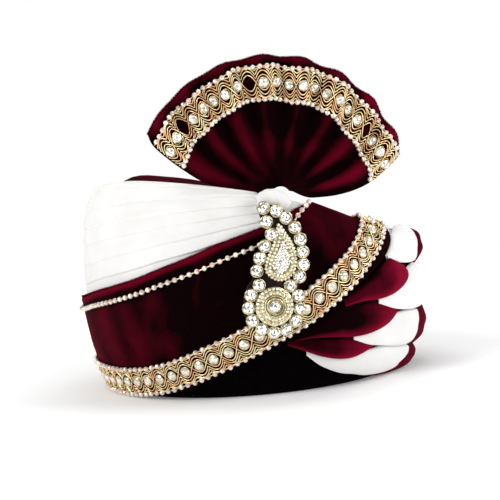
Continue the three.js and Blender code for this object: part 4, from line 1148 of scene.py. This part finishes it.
def velvet_pile():
    rng = np.random.default_rng(61)
    share = rng.uniform(0.002, 0.998, FAN_FIBRES)
    depth = rng.uniform(-0.3, FAN_THICKNESS + 0.1, len(share))
    reach = fan_reach(share) - 0.35
    # The fibres get one level of painted light each, higher on the band's rolled edge than on the fan:
    # painted highlight.
    pile("fan_pile", on_fan(reach, share, -depth), on_fan(reach + 2, share, -depth), 0.45, 62)
    angle = rng.uniform(-95, 59, BAND_FIBRES)
    top = band_top(angle)
    out = BAND_SEAT + BAND_THICKNESS * rng.uniform(0.2, 0.8, len(angle))
    pile("band_pile", on_body(angle, top - 0.5, out), on_body(angle, top + 1.5, out + 0.8), 0.7, 63)


velvet_pile()

# Brooch. A gilt setting in the shape of a paisley, edged with round cut stones. A drop with a
# beaded border and a field of small stones hangs over a round medallion with a stone at its middle.
BROOCH = {"x": 8.0, "y": -130.6, "z": 80.0, "lean": 3.6, "turn": 3.0, "thickness": 2.2}
MEDALLION = (-12.2, -18.5)
MEDALLION_RADIUS = 12.6
MEDALLION_RIM = 16.9
PLATE_LEVELS = [(0.4, 0.0), (0, 0.4), (0, 0.9), (0.3, 1.2)]
DROP_LEVELS = [(0.3, 1.3), (0, 1.8), (0, 2.6), (1.2, 3.2), (2.6, 3.5)]
MEDALLION_LEVELS = [(0.3, 1.3), (0, 1.8), (0, 2.8), (1.0, 3.3), (2.4, 3.5), (3.0, 4.0), (6.6, 4.4),
                    (7.0, 5.0), (8.4, 5.2)]
MEDALLION_BEADS = [(11.3, 28, 4.1), (8.6, 24, 4.9)]
MEDALLION_ROPES = [(6.7, 5.1), (5.2, 5.7), (10.0, 4.3)]
CUP_RINGS = [(3.95, 2.6), (3.9, 1.4)]
CUP_WIRE = 0.42
ROPE = 0.55
DROP_BEAD = 1.12
MEDALLION_BEAD = 1.14
RIM_STONE = (3.75, 3.75, 3.9)
CENTRE_STONE = (3.9, 3.9, 4.0)
PAVE_STONE = (1.03, 1.03, 1.0)
PAVE_PITCH = (2.05, 1.78)
PAVE_SHIFT = 1.02
RIM_STONES = [(-13.3, 45.2), (-5.0, 42.6), (0.9, 37.4), (6.1, 30.7), (9.0, 22.9), (9.8, 14.7),
              (9.3, 6.3), (6.2, -1.2), (-12.2, 36.2), (-9.6, 27.8), (-14.5, 20.7), (-18.6, 13.2),
              (-21.4, 5.2)]
BROOCH_OUTLINE = [(-16.5, 47.5), (-10.5, 49.2), (-3.0, 46.5), (4.2, 41.2), (10.2, 33.2),
                  (13.4, 23.5), (14.2, 14.7), (13.6, 5.5), (10.4, -2.6), (7.0, -8.0), (8.7, -16.0),
                  (7.6, -25.0), (2.0, -33.4), (-7.8, -38.6), (-18.2, -39.0), (-27.0, -33.6),
                  (-33.0, -24.6), (-33.6, -14.4), (-30.6, -4.4), (-25.8, 1.4), (-25.6, 7.4),
                  (-21.8, 16.4), (-17.6, 23.4), (-13.8, 28.6), (-16.2, 35.6), (-17.6, 41.6)]
DROP_OUTLINE = [(-4.6, 33.4), (-0.8, 27.6), (3.0, 20.4), (4.6, 12.3), (3.4, 4.6), (-0.8, -0.4),
                (-6.4, -2.0), (-12.0, 0.2), (-15.4, 5.6), (-13.3, 12.8), (-9.6, 19.4), (-6.6, 26.0)]
brooch_gilt = speckled("brooch_gilt", (0.50, 0.42, 0.20), (0.93, 0.84, 0.55), 300, 0.24, 0.95)
# The plate behind the stones is painted almost black: painted shade in the gaps of the setting.
brooch_back_shade = speckled("brooch_back_shade", (0.005, 0.002, 0.002), (0.03, 0.012, 0.008), 200,
                             0.55, 0.6)
brooch_crystal = speckled("brooch_crystal", (0.80, 0.79, 0.74), (1.0, 0.99, 0.96), 120, 0.03, 0.95,
                          0.6, 0.9, 0.25, 0.5)
brooch_bead = speckled("brooch_bead", (0.80, 0.72, 0.48), (1.0, 0.97, 0.84), 500, 0.10, 0.6, 0.8)


def on_brooch(x, z, out):
    x, z, out = (np.asarray(v, float)[..., None] for v in np.broadcast_arrays(x, z, out))
    lean, turn = math.radians(BROOCH["lean"]), math.radians(BROOCH["turn"])
    across = np.array([math.cos(turn), math.sin(turn), 0])
    up = np.array([0, math.sin(lean), math.cos(lean)])
    return (np.array([BROOCH["x"], BROOCH["y"], BROOCH["z"]]) + across * x + up * z
            + np.cross(across, up) * out)


BROOCH_FACING = (on_brooch(0, 0, 1) - on_brooch(0, 0, 0)).ravel()


def closed_curve(rows, count):
    """Evenly spaced points round a smooth closed outline."""
    rows = np.array(rows, float)
    at = np.linspace(0, len(rows), 40 * len(rows), endpoint=False)
    first = np.floor(at).astype(int)
    corners = (rows[(first + k) % len(rows)] for k in (-1, 0, 1, 2))
    fine = curve_through(*corners, (at - first)[:, None])
    closed = np.vstack([fine, fine[:1]])
    lengths = lengths_along(closed)
    even = np.linspace(0, lengths[-1], count, endpoint=False)
    return np.stack([np.interp(even, lengths, closed[:, k]) for k in (0, 1)], -1)


def signed_area(outline):
    ahead = np.roll(outline, -1, axis=0)
    return 0.5 * np.sum(outline[:, 0] * ahead[:, 1] - ahead[:, 0] * outline[:, 1])


def moved_in(outline, distance):
    """An outline moved towards its own inside."""
    along = np.roll(outline, -1, axis=0) - np.roll(outline, 1, axis=0)
    normal = unit(np.stack([along[:, 1], -along[:, 0]], -1))
    return outline - normal * distance * np.sign(signed_area(outline))


def domed_plate(name, outline, levels, material):
    """Stacked outlines, each moved in and raised, closed by a flat face at the front and back."""
    points = np.concatenate([on_brooch(*moved_in(outline, inset).T, out) for inset, out in levels])
    count = len(outline)
    faces = loft_faces(len(levels), count, False)[:, [0, 3, 2, 1]].tolist()
    faces.append(list(range(count))[::-1])
    faces.append([(len(levels) - 1) * count + k for k in range(count)])
    if signed_area(outline) < 0:
        faces = [face[::-1] for face in faces]
    return new_piece(name, points, faces, material, False)


def round_spots(centre, radius, count):
    t = 2 * np.pi * np.arange(count) / count
    return centre[0] + radius * np.cos(t), centre[1] + radius * np.sin(t)


def wire_ring(centre, radius, out):
    t = np.linspace(0, 2 * np.pi, 25)
    return on_brooch(centre[0] + radius * np.cos(t), centre[1] + radius * np.sin(t), out + 0 * t)


def brooch_gems(name, spots, out, size, tilt=0.06):
    """Clear stones of one size on the brooch, facing straight out of it."""
    facing = np.tile(BROOCH_FACING, (len(spots), 1))
    return stones(name, on_brooch(spots[:, 0], spots[:, 1], out), facing,
                  np.tile(size, (len(spots), 1)) * MM, brooch_crystal, tilt)


def lies_within(points, outline):
    """Whether each point lies inside: then a line from it to the right meets the outline oddly."""
    crossings = np.zeros(len(points), int)
    for (x0, z0), (x1, z1) in zip(outline, np.roll(outline, -1, axis=0)):
        spans = (z0 > points[:, 1]) != (z1 > points[:, 1])
        with np.errstate(divide="ignore", invalid="ignore"):
            meets = x0 + (points[:, 1] - z0) * (x1 - x0) / (z1 - z0)
        crossings += spans & (points[:, 0] < meets)
    return crossings % 2 == 1


def brooch_plate():
    # The plate is painted almost black as painted shade between the stones.
    plate = domed_plate("brooch_plate", moved_in(closed_curve(BROOCH_OUTLINE, 160), 1.6),
                        PLATE_LEVELS, brooch_back_shade)
    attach(plate, "root")
    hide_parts("brooch_setting", "brooch_pin")


def brooch_rim():
    """The stones round the paisley and the medallion, each in a cup of two wire rings."""
    turns = np.radians(np.linspace(46, -239, 11))
    around = [(MEDALLION[0] + MEDALLION_RIM * math.cos(t), MEDALLION[1] + MEDALLION_RIM * math.sin(t))
              for t in turns]
    spots = np.array(RIM_STONES + around)
    gems = brooch_gems("brooch_stones", spots, 2.4, RIM_STONE)
    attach(gems, "root")
    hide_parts(*[f"brooch_stone_{i + 1:02d}" for i in range(24)])
    cups = [wire_ring(spot, radius, out) for radius, out in CUP_RINGS for spot in spots]
    cup = threads("brooch_cups", cups, CUP_WIRE, brooch_gilt)
    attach(cup, "root")


def brooch_drop():
    """A raised plate with two rows of beads round it and small stones set close inside them."""
    drop = domed_plate("brooch_drop_plate", closed_curve(DROP_OUTLINE, 200), DROP_LEVELS,
                       brooch_gilt)
    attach(drop, "root")
    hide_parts("brooch_drop")
    outline = closed_curve(DROP_OUTLINE, 60)
    edge = closed_curve(DROP_OUTLINE, 38)
    second = closed_curve(moved_in(outline, 2.3), 30)
    border = np.concatenate([on_brooch(*edge.T, 3.1), on_brooch(*second.T, 3.9)])
    border_beads = beads("brooch_drop_beads", border, DROP_BEAD, brooch_bead, 12)
    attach(border_beads, "root")
    x, z = np.meshgrid(np.arange(-17, 6, PAVE_PITCH[0]), np.arange(-3, 34, PAVE_PITCH[1]),
                       indexing="ij")
    x = x + PAVE_SHIFT * (np.round((z + 3) / PAVE_PITCH[1]) % 2)
    grid = np.stack([x.ravel(), z.ravel()], -1)
    field = grid[lies_within(grid, moved_in(outline, 3.9))]
    pave = brooch_gems("brooch_pave", field, 3.45, PAVE_STONE, 0.34)
    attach(pave, "root")


def brooch_medallion():
    """A stepped disc with two rings of beads, three gilt ropes and a stone at its middle."""
    medallion = domed_plate("brooch_medallion_plate",
                            np.stack(round_spots(MEDALLION, MEDALLION_RADIUS, 96), -1),
                            MEDALLION_LEVELS, brooch_gilt)
    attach(medallion, "root")
    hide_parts("brooch_medallion")
    spots = np.concatenate([on_brooch(*round_spots(MEDALLION, radius, count), out)
                            for radius, count, out in MEDALLION_BEADS])
    ring_beads = beads("brooch_medallion_beads", spots, MEDALLION_BEAD, brooch_bead, 14)
    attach(ring_beads, "root")
    rings = [wire_ring(MEDALLION, radius, out) for radius, out in MEDALLION_ROPES]
    ropes = threads("brooch_medallion_ropes", rings, ROPE, brooch_gilt)
    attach(ropes, "root")
    centre = brooch_gems("brooch_centre", np.array([MEDALLION]), 5.4, CENTRE_STONE)
    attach(centre, "root")
    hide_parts("brooch_centre_stone")


brooch_plate()
brooch_rim()
brooch_drop()
brooch_medallion()

# The table top, the soft lights and the camera, which stands a little to the left of the front,
# just above the table, and is tilted as the picture is. The picture is 500 pixels wide and high,
# and the point AIM_HEIGHT over the middle of the turban is seen at AIM_PIXEL.
PICTURE_SIDE = 500
AIM_PIXEL = (245, 233)
AIM_HEIGHT = 100.0
MM_PER_PIXEL = 0.71
CAMERA_DISTANCE = 1400
CAMERA_AZIMUTH = -8
CAMERA_ELEVATION = 4.5
CAMERA_ROLL = 5
SENSOR_WIDTH = 36


def grey(value):
    return (value, value, value)


def floor():
    """A white table that glows, dimly near the turban as a painted shadow and brighter with the
    distance, so that it fades into the backdrop.
    """
    material = shader_material("table_white", Roughness=0.55, Specular_IOR_Level=0.3,
                               Emission_Strength=0.8)
    tree = material.node_tree
    where = tree.nodes.new("ShaderNodeTexCoord").outputs["Object"]
    noise = tree_add(tree, "ShaderNodeTexNoise", [(where, "Vector")], Scale=3.0)
    paint(tree, noise.outputs["Fac"], [(0, grey(0.86)), (1, grey(0.90))])
    # The glow is dim near the middle of the table: a painted shadow round the turban's foot.
    distance = tree_add(tree, "ShaderNodeVectorMath", [(where, 0)], {"operation": "LENGTH"})
    paint(tree, distance.outputs["Value"], [(0.14, grey(0.19)), (0.42, grey(0.53)), (0.95, grey(1))],
          "Emission Color")
    corners = [(-1.6, -1.3, 0), (1.6, -1.3, 0), (1.6, 0.7, 0), (-1.6, 0.7, 0)]
    table = new_object("table_top", corners, [[0, 1, 2, 3]], material)
    table.data.shade_smooth()
    bpy.context.scene.collection.objects.link(table)


def soft_light(name, place, aim, size, power):
    lamp = bpy.data.lights.new(name, "AREA")
    lamp.shape = "RECTANGLE"
    lamp.size, lamp.size_y = size
    lamp.energy = power
    holder = bpy.data.objects.new(name, lamp)
    bpy.context.scene.collection.objects.link(holder)
    holder.location = place
    holder.rotation_euler = (Vector(aim) - Vector(place)).to_track_quat("-Z", "Y").to_euler()


def backdrop():
    """White behind the object, and a dimmer white light all round it."""
    world = bpy.data.worlds.new("studio")
    bpy.context.scene.world = world
    world.use_nodes = True
    tree = world.node_tree
    room = tree_add(tree, "ShaderNodeBackground", Color=(1, 1, 1, 1), Strength=0.22)
    behind = tree.nodes["Background"]
    behind.inputs["Color"].default_value = (1, 1, 1, 1)
    behind.inputs["Strength"].default_value = 1.0
    seen = tree.nodes.new("ShaderNodeLightPath").outputs["Is Camera Ray"]
    either = tree_add(tree, "ShaderNodeMixShader", [
        (seen, 0), (room.outputs[0], 1), (behind.outputs[0], 2)])
    tree.links.new(either.outputs[0], tree.nodes["World Output"].inputs[0])
    bpy.context.scene.view_settings.view_transform = "Standard"
    bpy.context.scene.view_settings.look = "None"


def camera():
    azimuth, elevation, roll = (
        math.radians(turn) for turn in (CAMERA_AZIMUTH, CAMERA_ELEVATION, CAMERA_ROLL))
    back = np.array([math.sin(azimuth) * math.cos(elevation),
                     -math.cos(azimuth) * math.cos(elevation), math.sin(elevation)])
    level = unit(np.cross(-back, [0, 0, 1]))
    upright = np.cross(level, -back)
    right = math.cos(roll) * level - math.sin(roll) * upright
    up = math.sin(roll) * level + math.cos(roll) * upright
    place = (np.array([0, 0, AIM_HEIGHT]) + PLACE + back * CAMERA_DISTANCE) * MM
    lens = bpy.data.cameras.new("camera")
    lens.lens = CAMERA_DISTANCE / MM_PER_PIXEL * SENSOR_WIDTH / PICTURE_SIDE
    lens.sensor_width = SENSOR_WIDTH
    lens.shift_x = (PICTURE_SIDE / 2 - AIM_PIXEL[0]) / PICTURE_SIDE
    lens.shift_y = (AIM_PIXEL[1] - PICTURE_SIDE / 2) / PICTURE_SIDE
    lens.clip_start = 0.05
    holder = bpy.data.objects.new("camera", lens)
    bpy.context.scene.collection.objects.link(holder)
    rows = [[right[i], up[i], back[i], place[i]] for i in range(3)]
    holder.matrix_world = Matrix(rows + [[0, 0, 0, 1]])
    bpy.context.scene.camera = holder


floor()
soft_light("key", (-1.25, -0.85, 1.25), (0, 0, 0.1), (0.9, 0.9), 20)
soft_light("fill", (1.2, -0.6, 0.75), (0, 0, 0.1), (0.8, 0.8), 12)
soft_light("over", (0.0, 0.5, 1.6), (0, 0.1, 0.1), (1.4, 1.0), 14)
backdrop()
camera()
